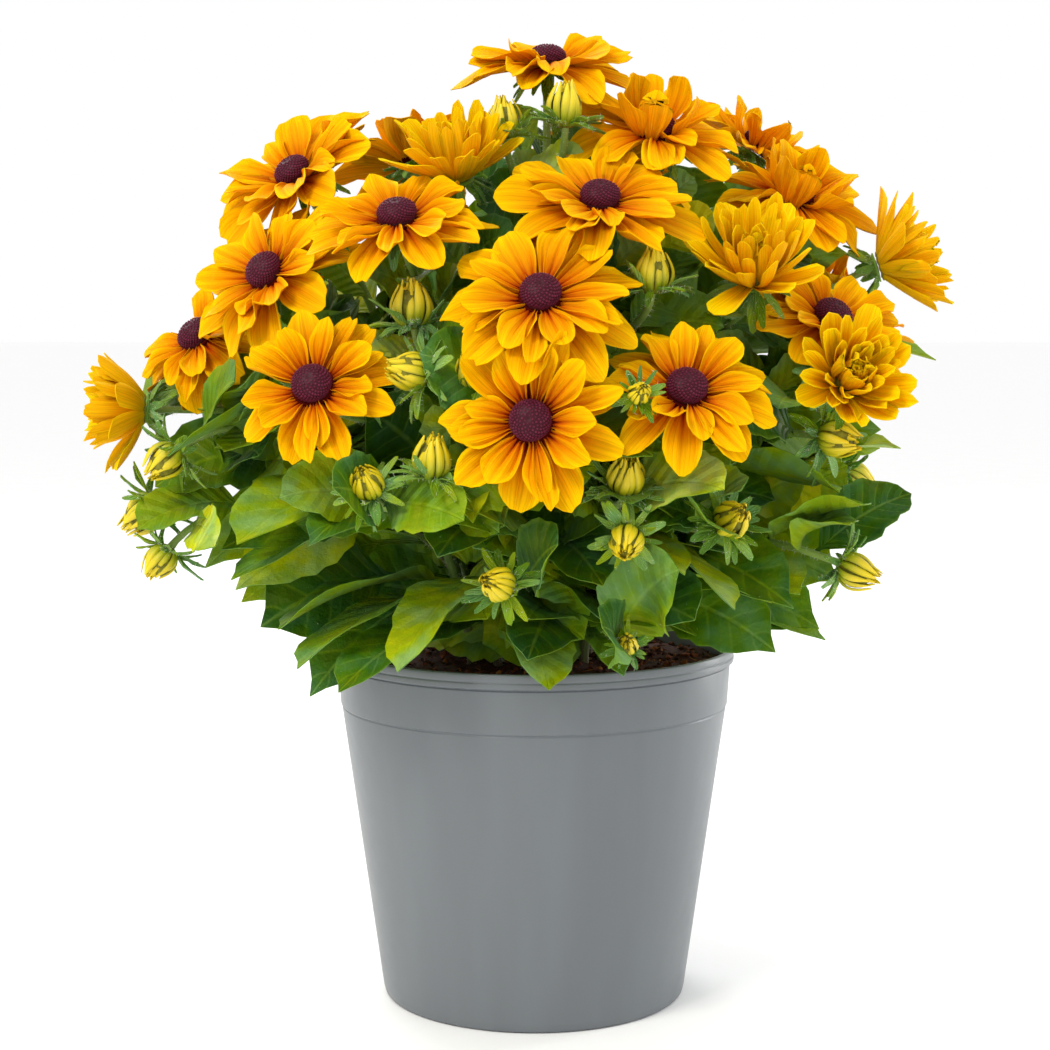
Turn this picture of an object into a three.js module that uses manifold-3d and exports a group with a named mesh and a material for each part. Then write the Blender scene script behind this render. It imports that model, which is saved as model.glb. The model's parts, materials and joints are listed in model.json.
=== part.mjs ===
// Potted black-eyed susan: a grey growing pot, its compost and a dome of golden semi-double flowers.
// Millimetres, +Z up. The origin is the middle of the pot's underside, and the front faces -Y.
import * as THREE from "three";
import { mergeVertices } from "three/addons/utils/BufferGeometryUtils.js";
import Module from "manifold-3d";

const wasm = await Module();
wasm.setup();
const { Manifold, Mesh: SolidMesh } = wasm;
const { degToRad, lerp } = THREE.MathUtils;

// Driving dimensions of the pot and the compost
const TURN = 2 * Math.PI;
const POT_SIDES = 32;
const FOOT_RADIUS = 68.5;
const BASE_RADIUS = 72.5;
const BASE_ROUND = 4;
const SEAM_HEIGHT = 139.5;
const SEAM_RADIUS = 91.4;
const SEAM_STEP = 0.9;
const LIP_BOTTOM = 160;
const LIP_RADIUS = 95;
const POT_HEIGHT = 167;
const WALL = 1.8;
const FLOOR = 3.2;
const DRAIN_COUNT = 5;
const DRAIN_RING = 53;
const DRAIN_RADIUS = 4.5;
const GAP = 0.3;
const SOIL_EDGE = 158;
const SOIL_CROWN = 163;
const SOIL_SIDES = 18;
const SOIL_ROUGH = 1.3;

// Driving dimensions of the plant
const PEG_DEPTH = 14;
const FOOT_LEAN = 0.2;
const STEM_RADIUS = 2.4;
const BRANCH_RADIUS = 1.9;
const HOLE_RADIUS = 3.2;
const STEM_SIDES = 5;
const BRANCH_SIDES = 3;
const STEM_STEPS = 6;
const BRANCH_STEPS = 3;
const HUB_RADIUS = 10.2;
const HUB_HALF = 1.2;
const DISC_RADIUS = 9.1;
const DISC_HEIGHT = 8;
const DISC_SIDES = 8;
const FACE_TO_HUB = 9;
const CUP_RADIUS = 7.6;
const CUP_NECK = 3.5;
const STEM_OVERLAP = 0.8;
const CUP_DEPTH = 4;
const BUD_RADIUS = 8.6;
const BUD_LENGTH = 17;
const BUD_SIDES = 8;
const CUP_SIDES = 6;
const PETAL_FACES = 9;
const INNER_FACES = [0, 2, 4, 5, 7];
const HALF_FACES = 8;
const HALF_TOP = 10;
const STEEP_LIFT = 40;
const BLADE_THICKNESS = 1.2;
const BLADE_ROOT = 0.1;
const FAMILY_ROOT = 0.24;
const TOUCH = 1e-4;
const LEAF_LEAN = 1.3;
const LEAF_CUP = 0.18;
const FEW_LEAVES = 2;
const MANY_LEAVES = 6;
const STALK_SHARE = 0.07;

// Where the draws of each kind of piece start
const SEEDS = { soil: 5, disc: 100, half: 200, open: 300, leaf: 400, frame: 500 };

// Each head: the middle of its face, the way it faces (turn from the front, then rise above level), its
// radius, and how far the outer petals lift and the inner ones lift
const OPEN_HEADS = {
  open_01: { at: [-113, -30, 392], turn: -48, rise: 48, reach: 49, lift: 8, inner: 34 },
  open_02: { at: [-121, -78, 345], turn: -40, rise: 33, reach: 44, lift: 2, inner: 26 },
  open_03: { at: [-157, -40, 318], turn: -50, rise: 45, reach: 40, lift: -22, inner: 14 },
  open_04: { at: [-59, -102, 370], turn: -13, rise: 60, reach: 43, lift: -4, inner: 16 },
  open_05: { at: [28, -92, 378], turn: 3, rise: 58, reach: 48, lift: 4, inner: 22 },
  open_06: { at: [2, -140, 335], turn: 0, rise: 40, reach: 47, lift: 2, inner: 22 },
  open_07: { at: [-93, -132, 297], turn: -10, rise: 32, reach: 38, lift: 2, inner: 24 },
  open_08: { at: [-3, -160, 281], turn: -8, rise: 10, reach: 40, lift: 6, inner: 26 },
  open_09: { at: [62, -142, 297], turn: 5, rise: 42, reach: 40, lift: 2, inner: 30 },
  open_10: { at: [133, -72, 327], turn: 35, rise: 50, reach: 43, lift: 0, inner: 22 },
  open_11: { at: [6, -14, 446], turn: 0, rise: 78, reach: 47, lift: -2, inner: 22 },
  open_12: { at: [55, -44, 412], turn: 14, rise: 60, reach: 45, lift: 2, inner: 52 },
  open_13: { at: [123, -16, 384], turn: 30, rise: 55, reach: 46, lift: 2, inner: 52 },
  open_14: { at: [112, 34, 410], turn: 80, rise: 58, reach: 38, lift: 6, inner: 44 },
  open_15: { at: [-62, 58, 404], turn: 205, rise: 58, reach: 44, lift: 4, inner: 28 },
  open_16: { at: [38, 72, 402], turn: 165, rise: 55, reach: 44, lift: 2, inner: 24 },
  open_17: { at: [-124, 76, 345], turn: 236, rise: 38, reach: 43, lift: -4, inner: 22 },
  open_18: { at: [-26, 134, 342], turn: 186, rise: 38, reach: 44, lift: 2, inner: 24 },
  open_19: { at: [76, 128, 330], turn: 150, rise: 36, reach: 43, lift: -6, inner: 20 },
  open_20: { at: [150, 52, 338], turn: 108, rise: 38, reach: 42, lift: 2, inner: 30 },
};
const HALF_HEADS = {
  half_01: { at: [93, -92, 345], turn: -8, rise: 48, reach: 38 },
  half_02: { at: [133, -112, 298], turn: 12, rise: 22, reach: 33 },
  half_03: { at: [169, -16, 348], turn: 80, rise: 18, reach: 36 },
  half_04: { at: [-35, -58, 392], turn: -12, rise: 62, reach: 35 },
  half_05: { at: [-188, -33, 280], turn: -80, rise: 2, reach: 34 },
  half_06: { at: [-86, 132, 286], turn: 212, rise: 18, reach: 34 },
};
const BUD_HEADS = {
  bud_01: { at: [-60, -134, 301], turn: -60, rise: 12, size: 1.05 },
  bud_02: { at: [-28, -134, 305], turn: -20, rise: 50, size: 0.9 },
  bud_03: { at: [-52, -108, 336], turn: -20, rise: 80, size: 1.15 },
  bud_04: { at: [-41, -142, 273], turn: 20, rise: 78, size: 1.05 },
  bud_05: { at: [-70, -148, 259], turn: -14, rise: 40, size: 0.9 },
  bud_06: { at: [-170, -68, 252], turn: -60, rise: -38, size: 1.05 },
  bud_07: { at: [-186, -42, 226], turn: -80, rise: -40, size: 1.15 },
  bud_08: { at: [-20, -146, 214], turn: -30, rise: 14, size: 0.95 },
  bud_09: { at: [36, -150, 226], turn: -8, rise: -24, size: 0.95 },
  bud_10: { at: [38, -138, 264], turn: 6, rise: 56, size: 1.05 },
  bud_11: { at: [84, -138, 242], turn: 20, rise: 24, size: 1 },
  bud_12: { at: [42, -162, 293], turn: 6, rise: 20, size: 0.6 },
  bud_13: { at: [150, -76, 207], turn: 66, rise: -20, size: 1.05 },
  bud_14: { at: [38, -134, 188], turn: 0, rise: 24, size: 0.6 },
  bud_15: { at: [50, -104, 350], turn: 10, rise: 80, size: 1.1 },
  bud_16: { at: [14, -50, 424], turn: 10, rise: 84, size: 1.1 },
  bud_17: { at: [-14, -44, 418], turn: -16, rise: 80, size: 1 },
  bud_18: { at: [138, -96, 268], turn: 50, rise: -6, size: 1.1 },
  bud_19: { at: [-172, -62, 206], turn: -60, rise: -52, size: 0.95 },
  bud_20: { at: [-152, 68, 268], turn: 240, rise: 10, size: 1.1 },
  bud_21: { at: [-40, 146, 262], turn: 190, rise: 22, size: 1 },
  bud_22: { at: [166, 40, 240], turn: 100, rise: -24, size: 1 },
  bud_23: { at: [112, 112, 262], turn: 134, rise: 16, size: 1.05 },
};

// Each shoot: the direction of its foot from the crown's middle, the foot's distance out, the head that
// its main stem carries, and where along that stem each branch leaves for its own head
const SHOOTS = {
  shoot_01: { turn: -78, out: 30, leader: "open_01", branches: { open_03: 0.42, half_05: 0.28, bud_07: 0.18,
    bud_19: 0.1 } },
  shoot_02: { turn: -54, out: 36, leader: "open_02", branches: { bud_06: 0.3 } },
  shoot_03: { turn: -31, out: 33, leader: "half_04", branches: { open_04: 0.5, bud_03: 0.46, open_07: 0.32,
    bud_01: 0.36, bud_05: 0.22 } },
  shoot_04: { turn: -6, out: 36, leader: "open_06", branches: { bud_02: 0.55, open_08: 0.36, bud_04: 0.32,
    bud_08: 0.14 } },
  shoot_05: { turn: 17, out: 33, leader: "open_05", branches: { bud_15: 0.6, open_09: 0.38, bud_12: 0.44,
    bud_10: 0.32, bud_09: 0.2, bud_14: 0.1 } },
  shoot_06: { turn: 43, out: 34, leader: "open_12", branches: { half_01: 0.45, half_02: 0.3, bud_18: 0.24,
    bud_11: 0.18 } },
  shoot_07: { turn: 68, out: 34, leader: "open_10", branches: { half_03: 0.45, bud_13: 0.14 } },
  shoot_08: { turn: 96, out: 26, leader: "open_14", branches: { open_13: 0.5, bud_22: 0.2 } },
  shoot_09: { turn: 0, out: 4, leader: "open_11", branches: { bud_16: 0.7, bud_17: 0.66 } },
  shoot_10: { turn: 236, out: 32, leader: "open_17", branches: { bud_20: 0.35 } },
  shoot_11: { turn: 192, out: 30, leader: "open_15", branches: { open_18: 0.45, half_06: 0.34,
    bud_21: 0.24 } },
  shoot_12: { turn: 142, out: 32, leader: "open_16", branches: { open_19: 0.42, open_20: 0.4,
    bud_23: 0.24 } },
};

// The large leaves that stand out at the front: the shoot, how far up its main stem, the tip and the width
const LARGE_LEAVES = [
  { shoot: "shoot_02", along: 0.34, tip: [-126, -112, 226], width: 46 },
  { shoot: "shoot_03", along: 0.34, tip: [-93, -136, 228], width: 30 },
  { shoot: "shoot_03", along: 0.16, tip: [-58, -122, 173], width: 31 },
  { shoot: "shoot_02", along: 0.12, tip: [-103, -95, 170], width: 36 },
  { shoot: "shoot_03", along: 0.06, tip: [-84, -108, 162], width: 31 },
  { shoot: "shoot_04", along: 0.1, tip: [6, -114, 164], width: 28 },
  { shoot: "shoot_05", along: 0.12, tip: [31, -108, 178], width: 26 },
  { shoot: "shoot_05", along: 0.06, tip: [26, -106, 168], width: 17 },
  { shoot: "shoot_04", along: 0.3, tip: [28, -126, 210], width: 29 },
  { shoot: "shoot_05", along: 0.28, tip: [62, -130, 215], width: 26 },
  { shoot: "shoot_06", along: 0.22, tip: [86, -114, 216], width: 29 },
  { shoot: "shoot_06", along: 0.12, tip: [103, -88, 198], width: 46 },
  { shoot: "shoot_07", along: 0.49, tip: [130, -94, 262], width: 31 },
  { shoot: "shoot_07", along: 0.34, tip: [164, -52, 262], width: 48 },
  { shoot: "shoot_08", along: 0.5, tip: [186, -18, 302], width: 24 },
  { shoot: "shoot_07", along: 0.06, tip: [132, -50, 176], width: 26 },
  { shoot: "shoot_01", along: 0.34, tip: [-164, -60, 215], width: 34 },
  { shoot: "shoot_01", along: 0.46, tip: [-172, -74, 262], width: 38 },
  { shoot: "shoot_03", along: 0.46, tip: [-45, -142, 238], width: 23 },
  { shoot: "shoot_04", along: 0.34, tip: [-26, -140, 223], width: 34 },
  { shoot: "shoot_02", along: 0.24, tip: [-132, -88, 208], width: 34 },
  { shoot: "shoot_02", along: 0.16, tip: [-112, -86, 186], width: 38 },
];

// Colours and finishes
const FINISHES = {
  pot: { color: "#85898d", roughness: 0.42, metalness: 0 },
  compost: { color: "#46301f", roughness: 0.95, metalness: 0 },
  leaf: { color: "#4c7a26", roughness: 0.6, metalness: 0 },
  petal: { color: "#f7a800", roughness: 0.55, metalness: 0 },
  quill: { color: "#f2b514", roughness: 0.55, metalness: 0 },
  disc: { color: "#3f1830", roughness: 0.7, metalness: 0 },
};

// A seeded draw: each call gives the next number between low and high
function dice(seed) {
  let state = seed * 7919 + 17;
  const next = () => {
    state = (state * 16807) % 2147483647;
    return state / 2147483647;
  };
  next();
  next();
  return (low, high) => low + (high - low) * next();
}

function materialOf(finish) {
  return new THREE.MeshStandardMaterial(FINISHES[finish]);
}

function signedVolume(position, index) {
  const [a, b, c] = [new THREE.Vector3(), new THREE.Vector3(), new THREE.Vector3()];
  let total = 0;
  for (let i = 0; i < index.length; i += 3) {
    a.fromBufferAttribute(position, index[i]);
    b.fromBufferAttribute(position, index[i + 1]);
    c.fromBufferAttribute(position, index[i + 2]);
    total += a.dot(b.cross(c));
  }
  return total / 6;
}

// A closed geometry as a solid, its faces turned to point out
function solidOf(geometry) {
  const bare = geometry.clone();
  bare.deleteAttribute("normal");
  bare.deleteAttribute("uv");
  const merged = mergeVertices(bare, 1e-4);
  const index = Uint32Array.from(merged.index.array);
  if (signedVolume(merged.attributes.position, index) < 0) {
    for (let i = 0; i < index.length; i += 3) {
      [index[i + 1], index[i + 2]] = [index[i + 2], index[i + 1]];
    }
  }
  const vertProperties = Float32Array.from(merged.attributes.position.array);
  return new Manifold(new SolidMesh({ numProp: 3, vertProperties, triVerts: index }));
}

function geometryOf(solid) {
  const { vertProperties, triVerts } = solid.getMesh();
  const geometry = new THREE.BufferGeometry();
  geometry.setAttribute("position", new THREE.BufferAttribute(vertProperties, 3));
  geometry.setIndex(new THREE.BufferAttribute(triVerts, 1));
  geometry.computeVertexNormals();
  return geometry;
}

function fuse(solids) {
  return solids.reduce((whole, piece) => whole.add(piece));
}

function meshOf(name, geometry, finish) {
  const mesh = new THREE.Mesh(geometry, materialOf(finish));
  mesh.name = name;
  return mesh;
}

// Everything that stands already, so that each new blade can be bent clear of the other nodes
const standing = [];

function boxOf(solid) {
  const { min, max } = solid.boundingBox();
  return new THREE.Box3(new THREE.Vector3(...min), new THREE.Vector3(...max));
}

function stand(node, solid) {
  standing.push({ node, solid, box: boxOf(solid) });
  return solid;
}

// Blades of one family may share an edge at their root, but nothing more
function isApart(family, solid) {
  return family.every((other) => other.intersect(solid).volume() < TOUCH);
}

function isClear(node, solid) {
  const box = boxOf(solid);
  return standing.every((other) => other.node === node || !box.intersectsBox(other.box)
    || other.solid.intersect(solid).isEmpty());
}

// Half a petal's width along its length, as a share of its widest half: it widens from the root to a
// shoulder, and rounds off past it
function rayOutline(root, shoulder) {
  return (u) => {
    const spread = root + (1 - root) * Math.sin(Math.PI / 2 * Math.min(1, u / shoulder));
    const past = Math.max(0, (u - shoulder) / (1 - shoulder));
    return spread * Math.sqrt(1 - past ** 2.4);
  };
}

// The same for a leaf: a narrow stalk, then an oval that is widest before its middle
function leafOutline(stalk, skew, fullness) {
  return (u) => {
    const along = Math.max(0, (u - stalk) / (1 - stalk));
    return STALK_SHARE + (1 - STALK_SHARE) * Math.sin(Math.PI * along ** skew) ** fullness;
  };
}

const OUTLINES = {
  petal: rayOutline(0.4, 0.6),
  quill: rayOutline(0.5, 0.7),
  leaf: leafOutline(0.12, 0.8, 0.9),
  largeLeaf: leafOutline(0.26, 0.85, 0.85),
};

// The shares of the length at which a blade has a section
const OUTLINE_ROWS = {
  petal: [0.42, 0.82],
  inner: [0.6],
  quill: [0.5, 0.86],
  leaf: [0, 0.36, 0.7],
  largeLeaf: [0, 0.36, 0.6, 0.82],
};

// The point, the side and the normal of a blade at a share of its length. Its midline is one smooth
// curve from the base past the bend to the tip.
function bladeFrame(blade, u) {
  const { base, bend, tip, up, roll } = blade;
  const middle = base.clone().multiplyScalar((1 - u) ** 2)
    .addScaledVector(bend, 2 * u * (1 - u))
    .addScaledVector(tip, u * u);
  const tangent = bend.clone().sub(base).multiplyScalar(1 - u)
    .addScaledVector(tip.clone().sub(bend), u)
    .normalize();
  const side = tangent.clone().cross(up).normalize().applyAxisAngle(tangent, roll);
  const normal = side.clone().cross(tangent).normalize();
  return { middle, tangent, side, normal };
}

// The four corners of a blade's section: one edge, the top of the rib, the other edge, the rib's underside
function bladeSection(blade, u, growth = 0) {
  const { middle, side, normal } = bladeFrame(blade, u);
  const half = BLADE_THICKNESS / 2 + growth;
  const reach = blade.width / 2 * OUTLINES[blade.outline](u) + growth;
  const raise = reach * blade.cup;
  return [
    middle.clone().addScaledVector(side, -reach).addScaledVector(normal, raise),
    middle.clone().addScaledVector(normal, half),
    middle.clone().addScaledVector(side, reach).addScaledVector(normal, raise),
    middle.clone().addScaledVector(normal, -half),
  ];
}

// A closed surface put together from rings of corners, with blades and spikes raised from its side faces
class Shell {
  points = [];

  faces = [];

  add(...points) {
    this.points.push(...points);
    return points.map((_, i) => this.points.length - points.length + i);
  }

  ring(radius, z, sides, ridge = 1) {
    return this.add(...Array.from({ length: sides }, (_, i) => {
      const angle = i / sides * TURN;
      const reach = i % 2 ? radius * ridge : radius;
      return new THREE.Vector3(reach * Math.cos(angle), reach * Math.sin(angle), z);
    }));
  }

  // The side face between two rings that starts at corner i, its corners in order as seen from outside
  side(low, high, i) {
    const next = (i + 1) % low.length;
    return [low[i], low[next], high[next], high[i]];
  }

  plain([a, b, c, d]) {
    this.faces.push(a, b, c, a, c, d);
  }

  spike(corners, tip) {
    const [end] = this.add(tip);
    corners.forEach((corner, i) => this.faces.push(corner, corners[(i + 1) % 4], end));
  }

  cap(ring, topmost, apex) {
    const [end] = this.add(apex);
    ring.forEach((corner, i) => {
      const next = ring[(i + 1) % ring.length];
      this.faces.push(...(topmost ? [corner, next, end] : [next, corner, end]));
    });
  }

  lid(ring, topmost) {
    for (let i = 1; i + 1 < ring.length; i += 1) {
      this.faces.push(...(topmost ? [ring[0], ring[i], ring[i + 1]] : [ring[i + 1], ring[i], ring[0]]));
    }
  }

  // The stretch of a blade between two sections
  stretch([a, t, b, u], [a2, t2, b2, u2]) {
    this.faces.push(b, b2, t, t, b2, t2, t, t2, a2, t, a2, a);
    this.faces.push(b, u, b2, u, u2, b2, u, a2, u2, u, a, a2);
  }

  point([a, t, b, u], tip) {
    const [end] = this.add(tip);
    this.faces.push(b, end, t, t, end, a, b, u, end, u, a, end);
  }

  // A blade whose root is a side face of this shell
  petal([lowB, lowA, highA, highB], blade, rows) {
    const sections = rows.map((u) => this.add(...bladeSection(blade, u)));
    const [a, t, b, u] = sections[0];
    this.faces.push(highB, t, highA, highB, b, t, highA, t, a);
    this.faces.push(lowB, lowA, u, lowB, u, b, lowA, a, u);
    this.faces.push(lowA, highA, a, highB, lowB, b);
    this.finish(sections, blade);
  }

  // A blade that starts by itself, with a closed root
  leaf(blade, rows, growth = 0) {
    const sections = rows.map((u) => this.add(...bladeSection(blade, u, growth)));
    const [a, t, b, u] = sections[0];
    this.faces.push(a, u, t, t, u, b);
    this.finish(sections, blade, growth);
  }

  finish(sections, blade, growth = 0) {
    for (let i = 0; i + 1 < sections.length; i += 1) {
      this.stretch(sections[i], sections[i + 1]);
    }
    const { tangent } = bladeFrame(blade, 1);
    this.point(sections.at(-1), blade.tip.clone().addScaledVector(tangent, growth));
  }

  geometry() {
    const geometry = new THREE.BufferGeometry().setFromPoints(this.points);
    geometry.setIndex(this.faces);
    return geometry;
  }
}

function bladeGeometry(blade, rows, growth = 0) {
  const shell = new Shell();
  shell.leaf(blade, rows, growth);
  return shell.geometry();
}

// The first of several tries at a blade that is clear of every other node and of its own family, or nothing.
// bodyOf gives the solid by which a blade is compared with its family.
function firstClear(node, tries, rows, family, bodyOf, toWorld = new THREE.Matrix4()) {
  const made = (blade, growth) => solidOf(bladeGeometry(blade, rows, growth).applyMatrix4(toWorld));
  const blade = tries.find((one) => isClear(node, made(one, GAP)) && isApart(family, bodyOf(one, GAP / 2)));
  if (blade) {
    stand(node, made(blade, 0));
    family.push(bodyOf(blade, 0));
  }
  return blade;
}

// The outer part of a leaf, beyond the root where the leaves of a stem part
function outerLeaf(blade, rows, growth) {
  const outer = [FAMILY_ROOT, ...rows.filter((u) => u > FAMILY_ROOT + BLADE_ROOT)];
  return solidOf(bladeGeometry(blade, outer, growth));
}

// A petal by itself, closed at the face that it grows from
function rootedPetal(corners, blade, rows) {
  const shell = new Shell();
  const root = shell.add(...corners);
  shell.petal(root, blade, rows);
  shell.plain(root.reverse());
  return solidOf(shell.geometry());
}

// Where a head stands: its own frame has Z along the way it faces and its origin in the petals' hub
function headPlace(head) {
  const [turn, rise] = [degToRad(head.turn), degToRad(head.rise)];
  const axis = new THREE.Vector3(Math.sin(turn) * Math.cos(rise), -Math.cos(turn) * Math.cos(rise),
    Math.sin(rise));
  const across = new THREE.Vector3(Math.cos(turn), Math.sin(turn), 0);
  const over = axis.clone().cross(across);
  const centre = new THREE.Vector3(...head.at).addScaledVector(axis, -FACE_TO_HUB * (head.size ?? 1));
  const matrix = new THREE.Matrix4().makeBasis(across, over, axis).setPosition(centre);
  return { axis, centre, matrix };
}

function placedGroup(matrix, ...meshes) {
  const group = new THREE.Group();
  matrix.decompose(group.position, group.quaternion, group.scale);
  group.add(...meshes);
  return group;
}

// A petal or bract in its head's own frame: it leaves the hub at an angle, at a lift that its bow changes
function rayBlade({ angle, start, height, lift, bow, length, width, cup, roll, outline }) {
  const [cos, sin] = [Math.cos(angle), Math.sin(angle)];
  const at = (radius, z) => new THREE.Vector3(radius * cos, radius * sin, z);
  const [rise, fall] = [degToRad(lift), degToRad(lift + bow)];
  const half = length / 2;
  const bendRadius = start + half * Math.cos(rise);
  const bendHeight = height + half * Math.sin(rise);
  return {
    base: at(start, height),
    bend: at(bendRadius, bendHeight),
    tip: at(bendRadius + half * Math.cos(fall), bendHeight + half * Math.sin(fall)),
    up: new THREE.Vector3(0, 0, 1).addScaledVector(at(1, 0), -0.3),
    width, cup, roll, outline,
  };
}

// The lift that each try adds to a petal, and the scales of its length and its width
const PETAL_TRIES = [[0, 1, 1], [7, 1, 1], [-7, 1, 1], [0, 1, 0.86], [7, 1, 0.86], [-7, 1, 0.86],
  [14, 1, 0.86], [-14, 1, 0.86], [0, 0.94, 0.72], [10, 0.94, 0.72], [-10, 0.94, 0.72], [20, 0.94, 0.72],
  [-20, 0.94, 0.72], [0, 0.8, 0.6], [28, 0.9, 0.6], [-28, 0.85, 0.6]];

// The hub of an open flower and the core of a half-open one, as rings of a radius and a height
const OPEN_HUB = [[HUB_RADIUS, -HUB_HALF], [HUB_RADIUS, 0], [HUB_RADIUS, HUB_HALF]];
const HALF_CORE = [[7, -HUB_HALF], [7, 0.6], [6.4, 2.4], [5.2, 5], [3.4, 8]];

// The three turns of a half-open flower's petals, from the outside in. A length is a share of the reach,
// less a stretch.
const HALF_TURNS = [
  { faces: [0, 1, 2, 3, 4, 5, 6, 7], hub: 7, height: -0.3, skew: 0.5, lift: 26, bow: 18, loose: 12, share: 1,
    less: 4, width: 12, cup: 0.32, rows: OUTLINE_ROWS.quill },
  { faces: [0, 2, 4, 6], hub: 6.7, height: 1.5, skew: 1, lift: 52, bow: 20, loose: 9, share: 0.8,
    less: 0, width: 10, cup: 0.3, rows: OUTLINE_ROWS.inner },
  { faces: [1, 3, 5, 7], hub: 5.8, height: 3.7, skew: 0.5, lift: 70, bow: 28, loose: 6, share: 0.6,
    less: 0, width: 8, cup: 0.3, rows: OUTLINE_ROWS.inner },
];

function ringsOf(shell, profile, sides, ridge = 1) {
  return profile.map(([radius, z]) => shell.ring(radius, z, sides, ridge));
}

// A band of plain side faces between two rings
function plainBand(shell, low, high) {
  low.forEach((_, i) => shell.plain(shell.side(low, high, i)));
}

// A bare hub or core, which stands before its petals do
function bareCore(profile, sides) {
  const shell = new Shell();
  const rings = ringsOf(shell, profile, sides);
  shell.lid(rings[0], false);
  shell.lid(rings.at(-1), true);
  rings.slice(1).forEach((high, i) => plainBand(shell, rings[i], high));
  return shell.geometry();
}

// One ring of petals that grow from the side faces between two rings of corners. A face that the ring
// passes over stays plain.
function petalRing(shell, low, high, place, draw, ring, family) {
  const count = low.length;
  const start = ring.hub * Math.cos(Math.PI / count);
  for (let i = 0; i < count; i += 1) {
    const face = shell.side(low, high, i);
    const angle = (i + ring.skew + draw(-0.12, 0.12)) / count * TURN;
    const lift = ring.lift + draw(-ring.loose, ring.loose);
    const bow = ring.bow + draw(-ring.loose, ring.loose);
    const length = ring.length * draw(0.9, 1.04);
    const width = ring.width * draw(0.88, 1.06);
    const roll = degToRad(draw(-9, 9));
    const tries = PETAL_TRIES.map(([more, longer, wider]) => rayBlade({ ...ring, start, angle, roll, bow,
      lift: lift + more, length: length * longer, width: width * wider }));
    const corners = face.map((corner) => shell.points[corner]);
    const bodyOf = (one) => rootedPetal(corners, one, ring.rows);
    const blade = ring.faces.includes(i)
      && firstClear(place.node, tries, [BLADE_ROOT, ...ring.rows], family, bodyOf, place.matrix);
    if (blade) {
      shell.petal(face, blade, ring.rows);
    } else {
      shell.plain(face);
    }
  }
}

// An open flower's petals: a wide outer ring and a shorter inner one on one flat hub
function openPetals(node, head, seed) {
  const place = { ...headPlace(head), node };
  const draw = dice(seed);
  const shell = new Shell();
  const rings = ringsOf(shell, OPEN_HUB, PETAL_FACES);
  shell.lid(rings[0], false);
  shell.lid(rings[2], true);
  const shared = { hub: HUB_RADIUS, outline: "petal" };
  const outer = { ...shared, faces: rings[0].map((_, i) => i), skew: 0.5, height: -HUB_HALF / 2,
    lift: head.lift, bow: -16, loose: 6, length: head.reach - HUB_RADIUS + 1, width: head.reach * 0.42,
    cup: 0.16, rows: OUTLINE_ROWS.petal };
  const inner = { ...shared, faces: INNER_FACES, skew: 1, height: HUB_HALF / 2, lift: head.inner,
    bow: head.inner > STEEP_LIFT ? 40 : -8, loose: 7, length: head.reach * 0.58, width: head.reach * 0.36,
    cup: 0.22, rows: OUTLINE_ROWS.inner };
  const family = [];
  petalRing(shell, rings[0], rings[1], place, draw, outer, family);
  petalRing(shell, rings[1], rings[2], place, draw, inner, family);
  return geometryOf(solidOf(shell.geometry()));
}

// The dark disc: a dome with a small dimple, its florets in low relief
function discGeometry(seed) {
  const draw = dice(seed);
  const base = HUB_HALF + GAP;
  const profile = [[0, 0], [DISC_RADIUS - 0.5, 0], [DISC_RADIUS, 0.36 * DISC_HEIGHT],
    [0.66 * DISC_RADIUS, 0.88 * DISC_HEIGHT], [0, DISC_HEIGHT]]
    .map(([radius, z]) => new THREE.Vector2(radius, z));
  const lathe = new THREE.LatheGeometry(profile, DISC_SIDES).rotateX(Math.PI / 2)
    .translate(0, 0, base);
  lathe.deleteAttribute("normal");
  lathe.deleteAttribute("uv");
  const dome = mergeVertices(lathe, 1e-3);
  const { position } = dome.attributes;
  for (let i = 0; i < position.count; i += 1) {
    const [x, y, z] = [position.getX(i), position.getY(i), position.getZ(i)];
    if (Math.hypot(x, y) > 1 && z > base + 1) {
      const bump = 1 - Math.abs(draw(-0.06, 0.06));
      position.setXYZ(i, x * bump, y * bump, base + (z - base) * bump);
    }
  }
  return geometryOf(solidOf(dome));
}

// A half-open flower: quilled petals in three turns that cup round a core
function halfGeometry(node, head, seed) {
  const place = { ...headPlace(head), node };
  const draw = dice(seed);
  const shell = new Shell();
  const rings = ringsOf(shell, HALF_CORE, HALF_FACES);
  shell.lid(rings[0], false);
  shell.cap(rings.at(-1), true, new THREE.Vector3(0, 0, HALF_TOP));
  const family = [];
  HALF_TURNS.forEach((row, i) => {
    const ring = { ...row, length: row.share * head.reach - row.less, outline: "quill" };
    petalRing(shell, rings[i], rings[i + 1], place, draw, ring, family);
  });
  plainBand(shell, rings[3], rings[4]);
  return geometryOf(solidOf(shell.geometry()));
}

// Where each bract round the foot of a head ends, in the head's own frame
function bractTip(angle, start, height, lift, length) {
  const [flat, up] = [start + length * Math.cos(lift), height + length * Math.sin(lift)];
  return new THREE.Vector3(flat * Math.cos(angle), flat * Math.sin(angle), up);
}

// A tapered green ring under a head, with a pointed bract from every second side face
function bractBand(shell, low, high, { radius, height, lift, length }, draw) {
  low.forEach((_, i) => {
    const face = shell.side(low, high, i);
    if (i % 2) {
      shell.plain(face);
    } else {
      const angle = (i + 0.5) / low.length * TURN;
      const slope = degToRad(lift + draw(-14, 14));
      shell.spike(face, bractTip(angle, radius, height, slope, length * draw(0.85, 1.15)));
    }
  });
}

// The rings of a closed bud, from its neck up
const BUD_FOOT = [[3.2, -8.5], [5.8, -6]];
const BUD_CONE = [[BUD_RADIUS, 1.5], [0.7 * BUD_RADIUS, 7]];
const BUD_RIDGE = 0.82;

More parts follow.
